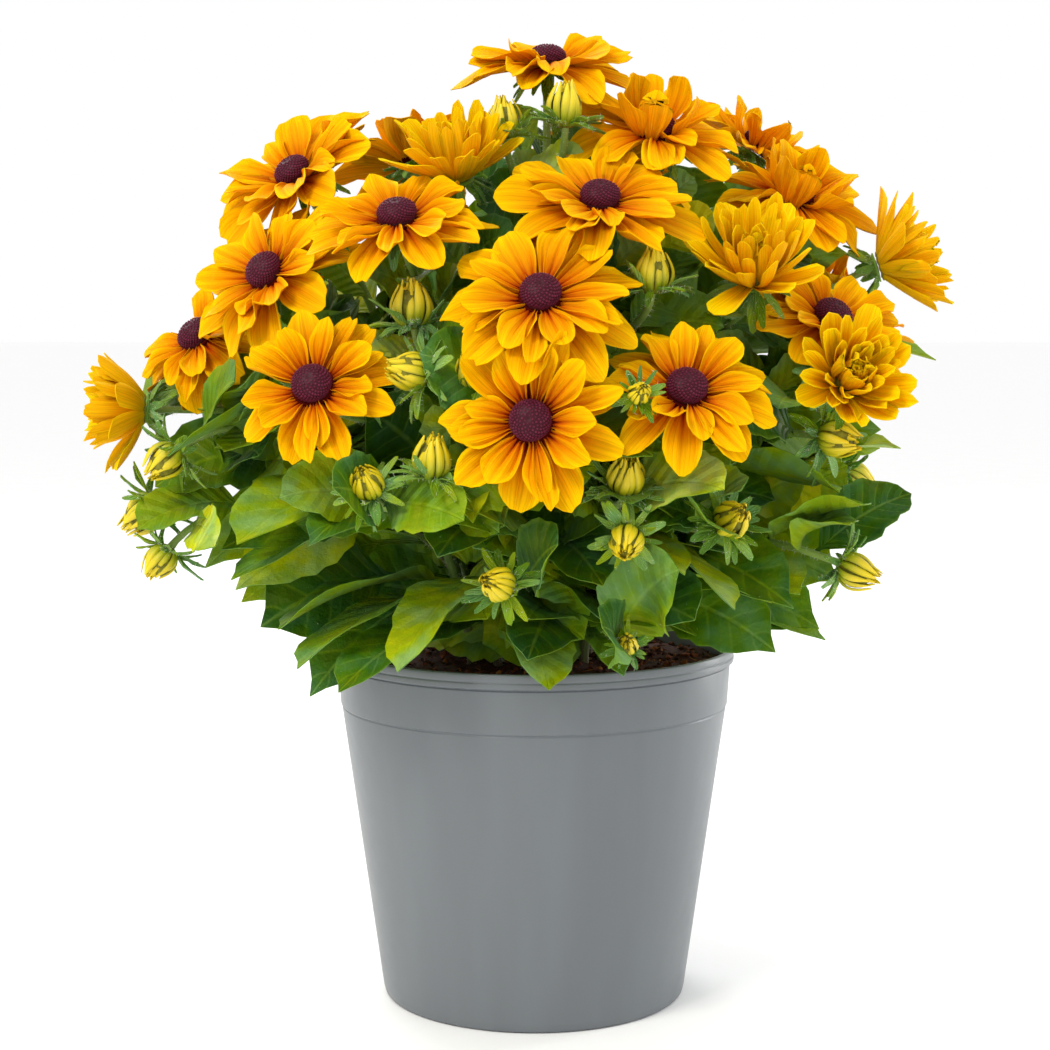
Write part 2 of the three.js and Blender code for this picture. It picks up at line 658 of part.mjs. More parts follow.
// A closed bud in its head's own frame: ridged straps close over a blunt cone, with bracts at its foot
function budGeometry(size, draw) {
  const shell = new Shell();
  const rings = [...ringsOf(shell, BUD_FOOT, BUD_SIDES), ...ringsOf(shell, BUD_CONE, BUD_SIDES, BUD_RIDGE)];
  shell.lid(rings[0], false);
  bractBand(shell, rings[0], rings[1], { radius: 4, height: -7, lift: 4, length: 16 }, draw);
  plainBand(shell, rings[1], rings[2]);
  plainBand(shell, rings[2], rings[3]);
  shell.cap(rings[3], true, new THREE.Vector3(0, 0, BUD_LENGTH + BUD_FOOT[0][1]));
  return shell.geometry().scale(size, size, size);
}

// The green cup under an open or half-open head's petals, with its bracts
function cupGeometry(draw) {
  const shell = new Shell();
  const top = -HUB_HALF - GAP;
  const [low, high] = ringsOf(shell, [[CUP_NECK, top - CUP_DEPTH], [CUP_RADIUS, top]], CUP_SIDES);
  shell.lid(low, false);
  bractBand(shell, low, high, { radius: 5, height: top - 3, lift: -36, length: 17 }, draw);
  shell.lid(high, true);
  return shell.geometry();
}

// A tube of a few sides along a curve
function tube(curve, radius, sides, steps) {
  const corners = Array.from({ length: sides }, (_, i) => new THREE.Vector2(
    radius * Math.cos(i / sides * TURN), radius * Math.sin(i / sides * TURN)));
  return new THREE.ExtrudeGeometry(new THREE.Shape(corners), { steps, extrudePath: curve });
}

// A stem's route: straight up through the compost, then one smooth curve to the neck of its head. Each
// step of the tube takes an equal share of it.
class StemPath extends THREE.Curve {
  constructor(foot, curve, steps) {
    super();
    this.foot = foot;
    this.curve = curve;
    this.straight = 1 / steps;
  }

  getPoint(t, target = new THREE.Vector3()) {
    if (t < this.straight) {
      return target.lerpVectors(this.foot, this.curve.v0, t / this.straight);
    }
    return this.curve.getPoint((t - this.straight) / (1 - this.straight), target);
  }

  getUtoTmapping(u) {
    return u;
  }
}

function footOf(shoot) {
  const turn = degToRad(shoot.turn);
  return new THREE.Vector3(shoot.out * Math.sin(turn), -shoot.out * Math.cos(turn), SOIL_CROWN);
}

const ALL_HEADS = { ...OPEN_HEADS, ...HALF_HEADS, ...BUD_HEADS };

// Where the stem meets a head, along its own axis below the hub
function neckDepth(name) {
  return name.startsWith("bud") ? 6 * ALL_HEADS[name].size : HUB_HALF + GAP + CUP_DEPTH - STEM_OVERLAP;
}

// The curve of a stem from a start, leaving along a direction, to the neck of its head
function stemCurve(start, leaving, name) {
  const { axis, centre } = headPlace(ALL_HEADS[name]);
  const end = centre.clone().addScaledVector(axis, -neckDepth(name));
  const span = start.distanceTo(end);
  return new THREE.CubicBezierCurve3(
    start,
    start.clone().addScaledVector(leaving, 0.36 * span),
    end.clone().addScaledVector(axis, -0.34 * span),
    end,
  );
}

function mainCurve(shoot) {
  const foot = footOf(shoot);
  const lean = foot.clone().setZ(0).normalize().multiplyScalar(FOOT_LEAN).add(new THREE.Vector3(0, 0, 1));
  return stemCurve(foot.setZ(SOIL_CROWN + 4), lean.normalize(), shoot.leader);
}

// A leaf that leaves a stem at a point in a direction, arching over towards its tip
function leafBlade({ base, turn, rise, length, width, arch, roll, outline }) {
  const flat = new THREE.Vector3(Math.sin(turn), -Math.cos(turn), 0);
  const tip = base.clone().addScaledVector(flat, length * Math.cos(rise));
  tip.z += length * Math.sin(rise);
  const bend = base.clone().lerp(tip, 0.5);
  const up = bend.clone().setZ(0).normalize().multiplyScalar(LEAF_LEAN).add(new THREE.Vector3(0, 0, 1));
  bend.z += length * arch;
  return { base, bend, tip, up, width, cup: LEAF_CUP, roll, outline };
}

// The swing and the rise that each try adds to a leaf, and its scale
const LEAF_TRIES = [[0, 0, 1], [0, 10, 1], [10, 0, 1], [-10, 0, 1], [0, -10, 1], [16, 10, 1], [-16, 10, 1],
  [0, 20, 1], [24, 0, 0.9], [-24, 0, 0.9], [16, -14, 0.9], [-16, -14, 0.9], [34, 16, 0.85],
  [-34, 16, 0.85], [0, 34, 0.8], [46, 6, 0.75], [-46, 6, 0.75]];

function placeLeaf(node, leaf, family) {
  const tries = LEAF_TRIES.map(([swing, raise, scale]) => leafBlade({ ...leaf,
    turn: leaf.turn + degToRad(swing), rise: leaf.rise + degToRad(raise), length: leaf.length * scale,
    width: leaf.width * scale }));
  const bodyOf = (one, growth) => outerLeaf(one, leaf.rows, growth);
  const blade = firstClear(node, tries, leaf.rows, family, bodyOf);
  return blade ? [solidOf(bladeGeometry(blade, leaf.rows))] : [];
}

// A large leaf is given by its tip
function largeLeaf(row, curve, draw) {
  const base = curve.getPoint(row.along);
  const reach = new THREE.Vector3(...row.tip).sub(base);
  const flat = Math.hypot(reach.x, reach.y);
  return { base, turn: Math.atan2(reach.x, -reach.y), rise: Math.atan2(reach.z, flat),
    length: reach.length(), width: row.width, arch: draw(0.16, 0.26), roll: degToRad(draw(-14, 14)),
    outline: "largeLeaf", rows: OUTLINE_ROWS.largeLeaf };
}

// The other leaves stand up the stem by turns left and right, smaller towards the head
function stemLeaf(shoot, curve, share, side, draw) {
  const along = lerp(0.1, 0.66, share);
  return { base: curve.getPoint(along), turn: degToRad(shoot.turn + side * draw(28, 95)),
    rise: degToRad(lerp(6, 34, share) + draw(-10, 10)), length: lerp(88, 52, share) * draw(0.85, 1.1),
    width: lerp(38, 25, share) * draw(0.9, 1.1), arch: draw(0.14, 0.26), roll: degToRad(draw(-20, 20)),
    outline: "leaf", rows: OUTLINE_ROWS.leaf };
}

// The stems, cups and buds of a shoot, which never give way
function shootFrame(name, shoot, seed) {
  const draw = dice(seed);
  const main = mainCurve(shoot);
  const foot = footOf(shoot).setZ(SOIL_CROWN - PEG_DEPTH);
  const path = new StemPath(foot, main, STEM_STEPS);
  const geometries = [tube(path, STEM_RADIUS, STEM_SIDES, STEM_STEPS)];
  for (const [head, along] of Object.entries(shoot.branches)) {
    const curve = stemCurve(main.getPoint(along), main.getTangent(along), head);
    geometries.push(tube(curve, BRANCH_RADIUS, BRANCH_SIDES, BRANCH_STEPS));
  }
  for (const head of [shoot.leader, ...Object.keys(shoot.branches)]) {
    const { size } = ALL_HEADS[head];
    const end = size ? budGeometry(size, draw) : cupGeometry(draw);
    geometries.push(end.applyMatrix4(headPlace(ALL_HEADS[head]).matrix));
  }
  return geometries.map((geometry) => stand(name, solidOf(geometry)));
}

// The leaves of a shoot, each bent clear of what stands already
function shootLeaves(name, shoot, stems, seed) {
  const draw = dice(seed);
  const main = mainCurve(shoot);
  const leaves = LARGE_LEAVES.filter((row) => row.shoot === name).map((row) => largeLeaf(row, main, draw));
  const count = leaves.length > 0 ? FEW_LEAVES : MANY_LEAVES;
  for (let i = 0; i < count; i += 1) {
    leaves.push(stemLeaf(shoot, main, i / (count - 1), i % 2 ? 1 : -1, draw));
  }
  const family = stems.slice(1);
  return leaves.flatMap((leaf) => placeLeaf(name, leaf, family));
}

// The pot: one lathe turned wall, floor, seam and lip, with drain holes near the edge of the floor
function potGeometry() {
  const inner = (radius) => radius - WALL;
  const profile = [
    [0, 0], [FOOT_RADIUS, 0],
    [BASE_RADIUS - 0.3 * BASE_ROUND, 0.3 * BASE_ROUND],
    [BASE_RADIUS, BASE_ROUND],
    [SEAM_RADIUS, SEAM_HEIGHT - 1], [SEAM_RADIUS + SEAM_STEP, SEAM_HEIGHT],
    [LIP_RADIUS - 1.2, LIP_BOTTOM], [LIP_RADIUS, LIP_BOTTOM + 0.8],
    [LIP_RADIUS, POT_HEIGHT - 0.8], [LIP_RADIUS - 0.8, POT_HEIGHT],
    [LIP_RADIUS - 2.4, POT_HEIGHT], [inner(SEAM_RADIUS), SEAM_HEIGHT],
    [inner(BASE_RADIUS), FLOOR], [0, FLOOR],
  ].map(([radius, z]) => new THREE.Vector2(radius, z));
  let pot = solidOf(new THREE.LatheGeometry(profile, POT_SIDES).rotateX(Math.PI / 2));
  for (let i = 0; i < DRAIN_COUNT; i += 1) {
    const angle = (i + 0.5) / DRAIN_COUNT * TURN;
    const drain = new THREE.CylinderGeometry(DRAIN_RADIUS, DRAIN_RADIUS, 4 * FLOOR, 6).rotateX(Math.PI / 2)
      .translate(DRAIN_RING * Math.cos(angle), DRAIN_RING * Math.sin(angle), 0);
    pot = pot.subtract(solidOf(drain));
  }
  return geometryOf(pot);
}

// The compost: a plug that fills the pot, crumbly on top, with a plain hole for each shoot's foot
function soilGeometry() {
  const draw = dice(SEEDS.soil);
  const wallAt = (z) => BASE_RADIUS + (SEAM_RADIUS - BASE_RADIUS) * (z - BASE_ROUND)
    / (SEAM_HEIGHT - BASE_ROUND) - WALL - 2 * GAP;
  const rim = wallAt(SOIL_EDGE) - 0.6;
  const profile = [
    [0, FLOOR + GAP], [wallAt(FLOOR) - 4, FLOOR + GAP], [wallAt(FLOOR + 4), FLOOR + 4],
    [rim, SOIL_EDGE], [0.78 * rim, SOIL_EDGE + 1], [0.5 * rim, SOIL_CROWN - 1], [0.2 * rim, SOIL_CROWN],
    [0, SOIL_CROWN],
  ].map(([radius, z]) => new THREE.Vector2(radius, z));
  const lathe = new THREE.LatheGeometry(profile, SOIL_SIDES).rotateX(Math.PI / 2);
  lathe.deleteAttribute("normal");
  lathe.deleteAttribute("uv");
  const plug = mergeVertices(lathe, 1e-3);
  const { position } = plug.attributes;
  for (let i = 0; i < position.count; i += 1) {
    if (position.getZ(i) > SOIL_EDGE + 0.5) {
      position.setZ(i, position.getZ(i) + draw(-SOIL_ROUGH, SOIL_ROUGH));
    }
  }
  let soil = solidOf(plug);
  for (const shoot of Object.values(SHOOTS)) {
    const foot = footOf(shoot);
    const hole = new THREE.CylinderGeometry(HOLE_RADIUS, HOLE_RADIUS, PEG_DEPTH + 6, 6).rotateX(Math.PI / 2)
      .translate(foot.x, foot.y, SOIL_CROWN - PEG_DEPTH - GAP + (PEG_DEPTH + 6) / 2);
    soil = soil.subtract(solidOf(hole));
  }
  return geometryOf(soil);
}

// The pot, the compost, the stems and the bare hubs stand first, and every petal and leaf keeps clear of them
const plant = new THREE.Group();
const pot = potGeometry();
const soil = soilGeometry();
stand("pot", solidOf(pot));
stand("soil", solidOf(soil));
plant.add(meshOf("pot", pot, "pot"), meshOf("soil", soil, "compost"));

const frames = {};
Object.entries(SHOOTS).forEach(([name, shoot], i) => {
  frames[name] = shootFrame(name, shoot, SEEDS.frame + i);
});

const discs = {};
Object.entries(OPEN_HEADS).forEach(([name, head], i) => {
  const { matrix } = headPlace(head);
  discs[name] = discGeometry(SEEDS.disc + i);
  stand(`${name}_petals`, solidOf(bareCore(OPEN_HUB, PETAL_FACES).applyMatrix4(matrix)));
  stand(`${name}_disc`, solidOf(discs[name].clone().applyMatrix4(matrix)));
});

Object.entries(HALF_HEADS).forEach(([name, head], i) => {
  const { matrix } = headPlace(head);
  stand(name, solidOf(bareCore(HALF_CORE, HALF_FACES).applyMatrix4(matrix)));
  plant.add(placedGroup(matrix, meshOf(name, halfGeometry(name, head, SEEDS.half + i), "quill")));
});

Object.entries(OPEN_HEADS).forEach(([name, head], i) => {
  const petals = openPetals(`${name}_petals`, head, SEEDS.open + i);
  plant.add(placedGroup(headPlace(head).matrix,
    meshOf(`${name}_petals`, petals, "petal"),
    meshOf(`${name}_disc`, discs[name], "disc")));
});

Object.entries(SHOOTS).forEach(([name, shoot], i) => {
  const leaves = shootLeaves(name, shoot, frames[name], SEEDS.leaf + i);
  plant.add(meshOf(name, geometryOf(fuse([...frames[name], ...leaves])), "leaf"));
});

export default plant;
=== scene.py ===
"""The finished look of a potted black-eyed susan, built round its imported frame.

Every petal, leaf and stem follows the rule of its plain solid in the frame, in millimetres with +Z up,
and the front facing -Y. A mesh turns to metres when its piece is finished.
"""

from __future__ import annotations

import json
import logging
import math
import random
from collections.abc import Callable, Iterable, Sequence
from dataclasses import dataclass, field
from enum import Enum
from typing import ClassVar

import bmesh
import bpy
from mathutils import Matrix, Quaternion, Vector, noise
from mathutils.kdtree import KDTree

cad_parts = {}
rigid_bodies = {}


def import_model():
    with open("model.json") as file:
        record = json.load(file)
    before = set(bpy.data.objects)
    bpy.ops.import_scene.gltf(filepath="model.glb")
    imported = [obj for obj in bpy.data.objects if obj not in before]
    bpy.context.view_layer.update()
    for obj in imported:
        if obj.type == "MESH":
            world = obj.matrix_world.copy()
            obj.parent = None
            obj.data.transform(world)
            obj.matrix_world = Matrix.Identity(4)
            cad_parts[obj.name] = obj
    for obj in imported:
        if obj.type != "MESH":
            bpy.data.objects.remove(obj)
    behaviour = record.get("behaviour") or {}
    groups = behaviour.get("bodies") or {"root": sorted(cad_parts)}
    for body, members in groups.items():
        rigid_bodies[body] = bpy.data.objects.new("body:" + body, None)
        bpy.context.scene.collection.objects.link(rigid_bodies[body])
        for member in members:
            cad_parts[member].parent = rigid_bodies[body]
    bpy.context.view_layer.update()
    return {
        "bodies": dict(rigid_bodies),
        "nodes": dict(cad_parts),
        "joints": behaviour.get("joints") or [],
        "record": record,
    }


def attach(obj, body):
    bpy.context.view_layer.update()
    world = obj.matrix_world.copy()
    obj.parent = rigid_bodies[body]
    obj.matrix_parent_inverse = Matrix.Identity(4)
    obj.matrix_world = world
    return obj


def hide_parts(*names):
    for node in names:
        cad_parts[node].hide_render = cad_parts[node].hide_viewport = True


LOG = logging.getLogger("black_eyed_susan")
MM = 0.001
TURN = math.tau
GOLDEN_TURN = math.pi * (3 - math.sqrt(5))
UP = Vector((0.0, 0.0, 1.0))

# Each vertex of a blade knows its place across it (-1 to 1), along it (0 to 1) and its blade's tone
# (0 to 1, and less than 0 on the underside)
BLADE_PLACE = "blade_place"

# Sizes that the plain solids have too
HUB_RADIUS = 10.2
HUB_HALF = 1.2
DISC_RADIUS = 9.1
DISC_HEIGHT = 8.0
FACE_TO_HUB = 9.0
JOINT_GAP = 0.3
CUP_RADIUS = 7.6
CUP_NECK = 3.5
CUP_DEPTH = 4.0
STEM_OVERLAP = 0.8
BUD_NECK = 6.0
PETAL_FACES = 9
INNER_FACES = (0, 2, 4, 5, 7)
SPARE_FACES = (1, 3, 6, 8)
HALF_FACES = 8
STEEP_LIFT = 40.0
LEAF_LEAN = 1.3
LEAF_CUP = 0.18
SOIL_EDGE = 158.0
SOIL_CROWN = 163.0
PEG_DEPTH = 14.0
FOOT_LEAN = 0.2
STEM_RADIUS = 2.4
BRANCH_RADIUS = 1.9
STEM_STEPS = 6
STEM_PULL = 0.36
HEAD_PULL = 0.34
FEW_LEAVES = 2
MANY_LEAVES = 6
CUP_BRACTS = 3
BUD_BRACTS = 4

# The pleats of a ray petal, and how far a leaf's side veins climb on their way to its edge, in veins
PLEATS = 3
VEIN_SLANT = 1.9

# Leaves between those of the plain solids: a foot this near the middle has them all round, the others
# have them in a fan of so many degrees, and below a low head they are larger. They stay above the rim
# from its first radius on, and above the compost within it
INNER_FOOT = 10.0
OUTER_FAN = 250.0
LOW_HEAD = 290.0
RIM_STARTS = 80.0
OVER_RIM = 174.0
OVER_SOIL = 166.0

# The space before a flower that stays free of them, along its axis and as a share of its reach
FLOWER_BACK = -5.0
FLOWER_FRONT = 40.0
FLOWER_SHARE = 0.95

# The turns of straps in a closed bud: how many, how far out as a share of the first, and their tips' height
BUD_TURNS = ((13, 1.0, 9.4), (9, 0.68, 10.4), (5, 0.4, 10.2))

Span = tuple[float, float]
Triple = tuple[float, float, float]
Stops = Sequence[tuple[float, str]]
Surface = Callable[[float, float], Vector]
Part = bmesh.types.BMesh
Socket = bpy.types.NodeSocket


class Dice:
    """Seeded draws, which give the plain solids and the finished pieces the same places."""

    def __init__(self, seed: int) -> None:
        """Starts the draws.

        Args:
            seed: The number that the draws follow from.
        """
        self.state = seed * 7919 + 17
        self.share()
        self.share()

    def share(self) -> float:
        """Returns the next number between 0 and 1."""
        self.state = self.state * 16807 % 2147483647
        return self.state / 2147483647

    def draw(self, low: float, high: float) -> float:
        """Returns the next number between low and high."""
        return low + (high - low) * self.share()


class Seed(Enum):
    """Where the draws of each kind of piece start."""

    HALF = 200
    OPEN = 300
    LEAF = 400
    BRACT = 500
    FLORET = 600
    CREST = 700
    HALF_CREST = 750
    FILLER = 800
    LEAF_SHAPE = 850
    FUZZ = 900
    STRAP = 1000
    COMPOST = 1100

    def dice(self, index: int = 0) -> Dice:
        """Returns the draws of one piece of the kind."""
        return Dice(self.value + index)


def lerp(low: float, high: float, share: float) -> float:
    """Returns the number at a share of the way from low to high."""
    return low + (high - low) * share


def fade(low: float, high: float, value: float) -> float:
    """Returns 0 below low, 1 above high and a smooth step between them."""
    share = min(1.0, max(0.0, (value - low) / (high - low)))
    return share * share * (3 - 2 * share)


def level(angle: float) -> Vector:
    """Returns the level direction at an angle from +X."""
    return Vector((math.cos(angle), math.sin(angle), 0.0))


@dataclass(frozen=True)
class Head:
    """A flower or bud: the middle of its face, the way it faces, and its size.

    The turn goes from the front to +X and the rise from level to up, in degrees. A flower has a reach from
    its axis to a petal's tip, and the lift of its outer and its inner petals.
    """

    at: Triple
    turn: float
    rise: float
    reach: float = 0.0
    lift: float = 0.0
    inner: float = 0.0
    size: float = 1.0

    @property
    def axis(self) -> Vector:
        """The direction that the head faces."""
        turn, rise = math.radians(self.turn), math.radians(self.rise)
        flat = math.cos(rise)
        return Vector((math.sin(turn) * flat, -math.cos(turn) * flat, math.sin(rise)))

    @property
    def centre(self) -> Vector:
        """The middle of the hub, behind the face."""
        return Vector(self.at) - self.axis * FACE_TO_HUB * self.size

    @property
    def place(self) -> Matrix:
        """The head's own frame: Z is its axis, and the origin is in the hub."""
        across = level(math.radians(self.turn))
        axis = self.axis
        turned = Matrix((across, axis.cross(across), axis)).transposed().to_4x4()
        return Matrix.Translation(self.centre) @ turned


OPEN_HEADS = {
    "open_01": Head((-113, -30, 392), -48, 48, 49, 8, 34),
    "open_02": Head((-121, -78, 345), -40, 33, 44, 2, 26),
    "open_03": Head((-157, -40, 318), -50, 45, 40, -22, 14),
    "open_04": Head((-59, -102, 370), -13, 60, 43, -4, 16),
    "open_05": Head((28, -92, 378), 3, 58, 48, 4, 22),
    "open_06": Head((2, -140, 335), 0, 40, 47, 2, 22),
    "open_07": Head((-93, -132, 297), -10, 32, 38, 2, 24),
    "open_08": Head((-3, -160, 281), -8, 10, 40, 6, 26),
    "open_09": Head((62, -142, 297), 5, 42, 40, 2, 30),
    "open_10": Head((133, -72, 327), 35, 50, 43, 0, 22),
    "open_11": Head((6, -14, 446), 0, 78, 47, -2, 22),
    "open_12": Head((55, -44, 412), 14, 60, 45, 2, 52),
    "open_13": Head((123, -16, 384), 30, 55, 46, 2, 52),
    "open_14": Head((112, 34, 410), 80, 58, 38, 6, 44),
    "open_15": Head((-62, 58, 404), 205, 58, 44, 4, 28),
    "open_16": Head((38, 72, 402), 165, 55, 44, 2, 24),
    "open_17": Head((-124, 76, 345), 236, 38, 43, -4, 22),
    "open_18": Head((-26, 134, 342), 186, 38, 44, 2, 24),
    "open_19": Head((76, 128, 330), 150, 36, 43, -6, 20),
    "open_20": Head((150, 52, 338), 108, 38, 42, 2, 30),
}
HALF_HEADS = {
    "half_01": Head((93, -92, 345), -8, 48, 38),
    "half_02": Head((133, -112, 298), 12, 22, 33),
    "half_03": Head((169, -16, 348), 80, 18, 36),
    "half_04": Head((-35, -58, 392), -12, 62, 35),
    "half_05": Head((-188, -33, 280), -80, 2, 34),
    "half_06": Head((-86, 132, 286), 212, 18, 34),
}
BUD_HEADS = {
    "bud_01": Head((-60, -134, 301), -60, 12, size=1.05),
    "bud_02": Head((-28, -134, 305), -20, 50, size=0.9),
    "bud_03": Head((-52, -108, 336), -20, 80, size=1.15),
    "bud_04": Head((-41, -142, 273), 20, 78, size=1.05),
    "bud_05": Head((-70, -148, 259), -14, 40, size=0.9),
    "bud_06": Head((-170, -68, 252), -60, -38, size=1.05),
    "bud_07": Head((-186, -42, 226), -80, -40, size=1.15),
    "bud_08": Head((-20, -146, 214), -30, 14, size=0.95),
    "bud_09": Head((36, -150, 226), -8, -24, size=0.95),
    "bud_10": Head((38, -138, 264), 6, 56, size=1.05),
    "bud_11": Head((84, -138, 242), 20, 24, size=1),
    "bud_12": Head((42, -162, 293), 6, 20, size=0.6),
    "bud_13": Head((150, -76, 207), 66, -20, size=1.05),
    "bud_14": Head((38, -134, 188), 0, 24, size=0.6),
    "bud_15": Head((50, -104, 350), 10, 80, size=1.1),
    "bud_16": Head((14, -50, 424), 10, 84, size=1.1),
    "bud_17": Head((-14, -44, 418), -16, 80, size=1),
    "bud_18": Head((138, -96, 268), 50, -6, size=1.1),
    "bud_19": Head((-172, -62, 206), -60, -52, size=0.95),
    "bud_20": Head((-152, 68, 268), 240, 10, size=1.1),
    "bud_21": Head((-40, 146, 262), 190, 22, size=1),
    "bud_22": Head((166, 40, 240), 100, -24, size=1),
    "bud_23": Head((112, 112, 262), 134, 16, size=1.05),
}
ALL_HEADS = {**OPEN_HEADS, **HALF_HEADS, **BUD_HEADS}


@dataclass(frozen=True)
class LargeLeaf:
    """A leaf that stands out at the front: how far up the main stem it leaves, its tip and its width."""

    along: float
    tip: Triple
    width: float


@dataclass(frozen=True)
class ShootPlan:
    """A shoot: its foot, the head on its main stem, its branches and its large leaves."""

    turn: float
    out: float
    leader: str
    branches: dict[str, float]
    large: tuple[LargeLeaf, ...] = ()

    @property
    def foot(self) -> Vector:
        """Where the stem comes out of the compost."""
        turn = math.radians(self.turn)
        return Vector((self.out * math.sin(turn), -self.out * math.cos(turn), SOIL_CROWN))

    @property
    def heads(self) -> list[str]:
        """The names of the heads on this shoot, the leader first."""
        return [self.leader, *self.branches]


SHOOTS = {
    "shoot_01": ShootPlan(
        -78, 30, "open_01", {"open_03": 0.42, "half_05": 0.28, "bud_07": 0.18, "bud_19": 0.1},
        (LargeLeaf(0.34, (-164, -60, 215), 34), LargeLeaf(0.46, (-172, -74, 262), 38)),
    ),
    "shoot_02": ShootPlan(
        -54, 36, "open_02", {"bud_06": 0.3},
        (
            LargeLeaf(0.34, (-126, -112, 226), 46), LargeLeaf(0.12, (-103, -95, 170), 36),
            LargeLeaf(0.24, (-132, -88, 208), 34), LargeLeaf(0.16, (-112, -86, 186), 38),
        ),
    ),
    "shoot_03": ShootPlan(
        -31, 33, "half_04",
        {"open_04": 0.5, "bud_03": 0.46, "open_07": 0.32, "bud_01": 0.36, "bud_05": 0.22},
        (
            LargeLeaf(0.34, (-93, -136, 228), 30), LargeLeaf(0.16, (-58, -122, 173), 31),
            LargeLeaf(0.06, (-84, -108, 162), 31), LargeLeaf(0.46, (-45, -142, 238), 23),
        ),
    ),
    "shoot_04": ShootPlan(
        -6, 36, "open_06", {"bud_02": 0.55, "open_08": 0.36, "bud_04": 0.32, "bud_08": 0.14},
        (
            LargeLeaf(0.1, (6, -114, 164), 28), LargeLeaf(0.3, (28, -126, 210), 29),
            LargeLeaf(0.34, (-26, -140, 223), 34),
        ),
    ),
    "shoot_05": ShootPlan(
        17, 33, "open_05",
        {"bud_15": 0.6, "open_09": 0.38, "bud_12": 0.44, "bud_10": 0.32, "bud_09": 0.2, "bud_14": 0.1},
        (
            LargeLeaf(0.12, (31, -108, 178), 26), LargeLeaf(0.06, (26, -106, 168), 17),
            LargeLeaf(0.28, (62, -130, 215), 26),
        ),
    ),
    "shoot_06": ShootPlan(
        43, 34, "open_12", {"half_01": 0.45, "half_02": 0.3, "bud_18": 0.24, "bud_11": 0.18},
        (LargeLeaf(0.22, (86, -114, 216), 29), LargeLeaf(0.12, (103, -88, 198), 46)),
    ),
    "shoot_07": ShootPlan(
        68, 34, "open_10", {"half_03": 0.45, "bud_13": 0.14},
        (
            LargeLeaf(0.49, (130, -94, 262), 31), LargeLeaf(0.34, (164, -52, 262), 48),
            LargeLeaf(0.06, (132, -50, 176), 26),
        ),
    ),
    "shoot_08": ShootPlan(
        96, 26, "open_14", {"open_13": 0.5, "bud_22": 0.2}, (LargeLeaf(0.5, (186, -18, 302), 24),)
    ),
    "shoot_09": ShootPlan(0, 4, "open_11", {"bud_16": 0.7, "bud_17": 0.66}),
    "shoot_10": ShootPlan(236, 32, "open_17", {"bud_20": 0.35}),
    "shoot_11": ShootPlan(192, 30, "open_15", {"open_18": 0.45, "half_06": 0.34, "bud_21": 0.24}),
    "shoot_12": ShootPlan(142, 32, "open_16", {"open_19": 0.42, "open_20": 0.4, "bud_23": 0.24}),
}

# Leaves that spill over the pot's rim and fill the plant's outline between those of the plain solids
SPILLING_LEAVES = {
    "shoot_01": (
        LargeLeaf(0.3, (-150, -44, 208), 34), LargeLeaf(0.2, (-136, -26, 190), 40),
        LargeLeaf(0.38, (-146, -36, 262), 32),
    ),
    "shoot_02": (
        LargeLeaf(0.14, (-101, -62, 152), 30), LargeLeaf(0.16, (-124, -52, 182), 42),
        LargeLeaf(0.3, (-134, -60, 200), 32), LargeLeaf(0.3, (-140, -60, 218), 36),
    ),
    "shoot_06": (LargeLeaf(0.1, (108, -62, 172), 34), LargeLeaf(0.2, (112, -92, 196), 34)),
    "shoot_07": (
        LargeLeaf(0.14, (130, -44, 180), 36), LargeLeaf(0.24, (136, -58, 204), 38),
        LargeLeaf(0.4, (160, -24, 270), 40),
    ),
    "shoot_08": (LargeLeaf(0.78, (76, 8, 392), 26), LargeLeaf(0.62, (148, 8, 352), 34)),
    "shoot_09": (
        LargeLeaf(0.78, (-18, 10, 420), 20), LargeLeaf(0.8, (22, 16, 420), 18),
        LargeLeaf(0.68, (-34, -2, 394), 22), LargeLeaf(0.74, (2, 22, 412), 22),
    ),
}


# Finishes


def linear(colour: str) -> tuple[float, float, float, float]:
    """Turns an sRGB colour to linear light.

    Args:
        colour: The colour as #rrggbb.

    Returns:
        Red, green, blue and an alpha of 1.
    """
    shares = [int(colour[start : start + 2], 16) / 255 for start in (1, 3, 5)]
    red, green, blue = (s / 12.92 if s <= 0.04045 else ((s + 0.055) / 1.055) ** 2.4 for s in shares)
    return red, green, blue, 1.0


def grain(size: float) -> float:
    """Returns the noise scale that gives patches of a real size, in millimetres."""
    return 1000 / size


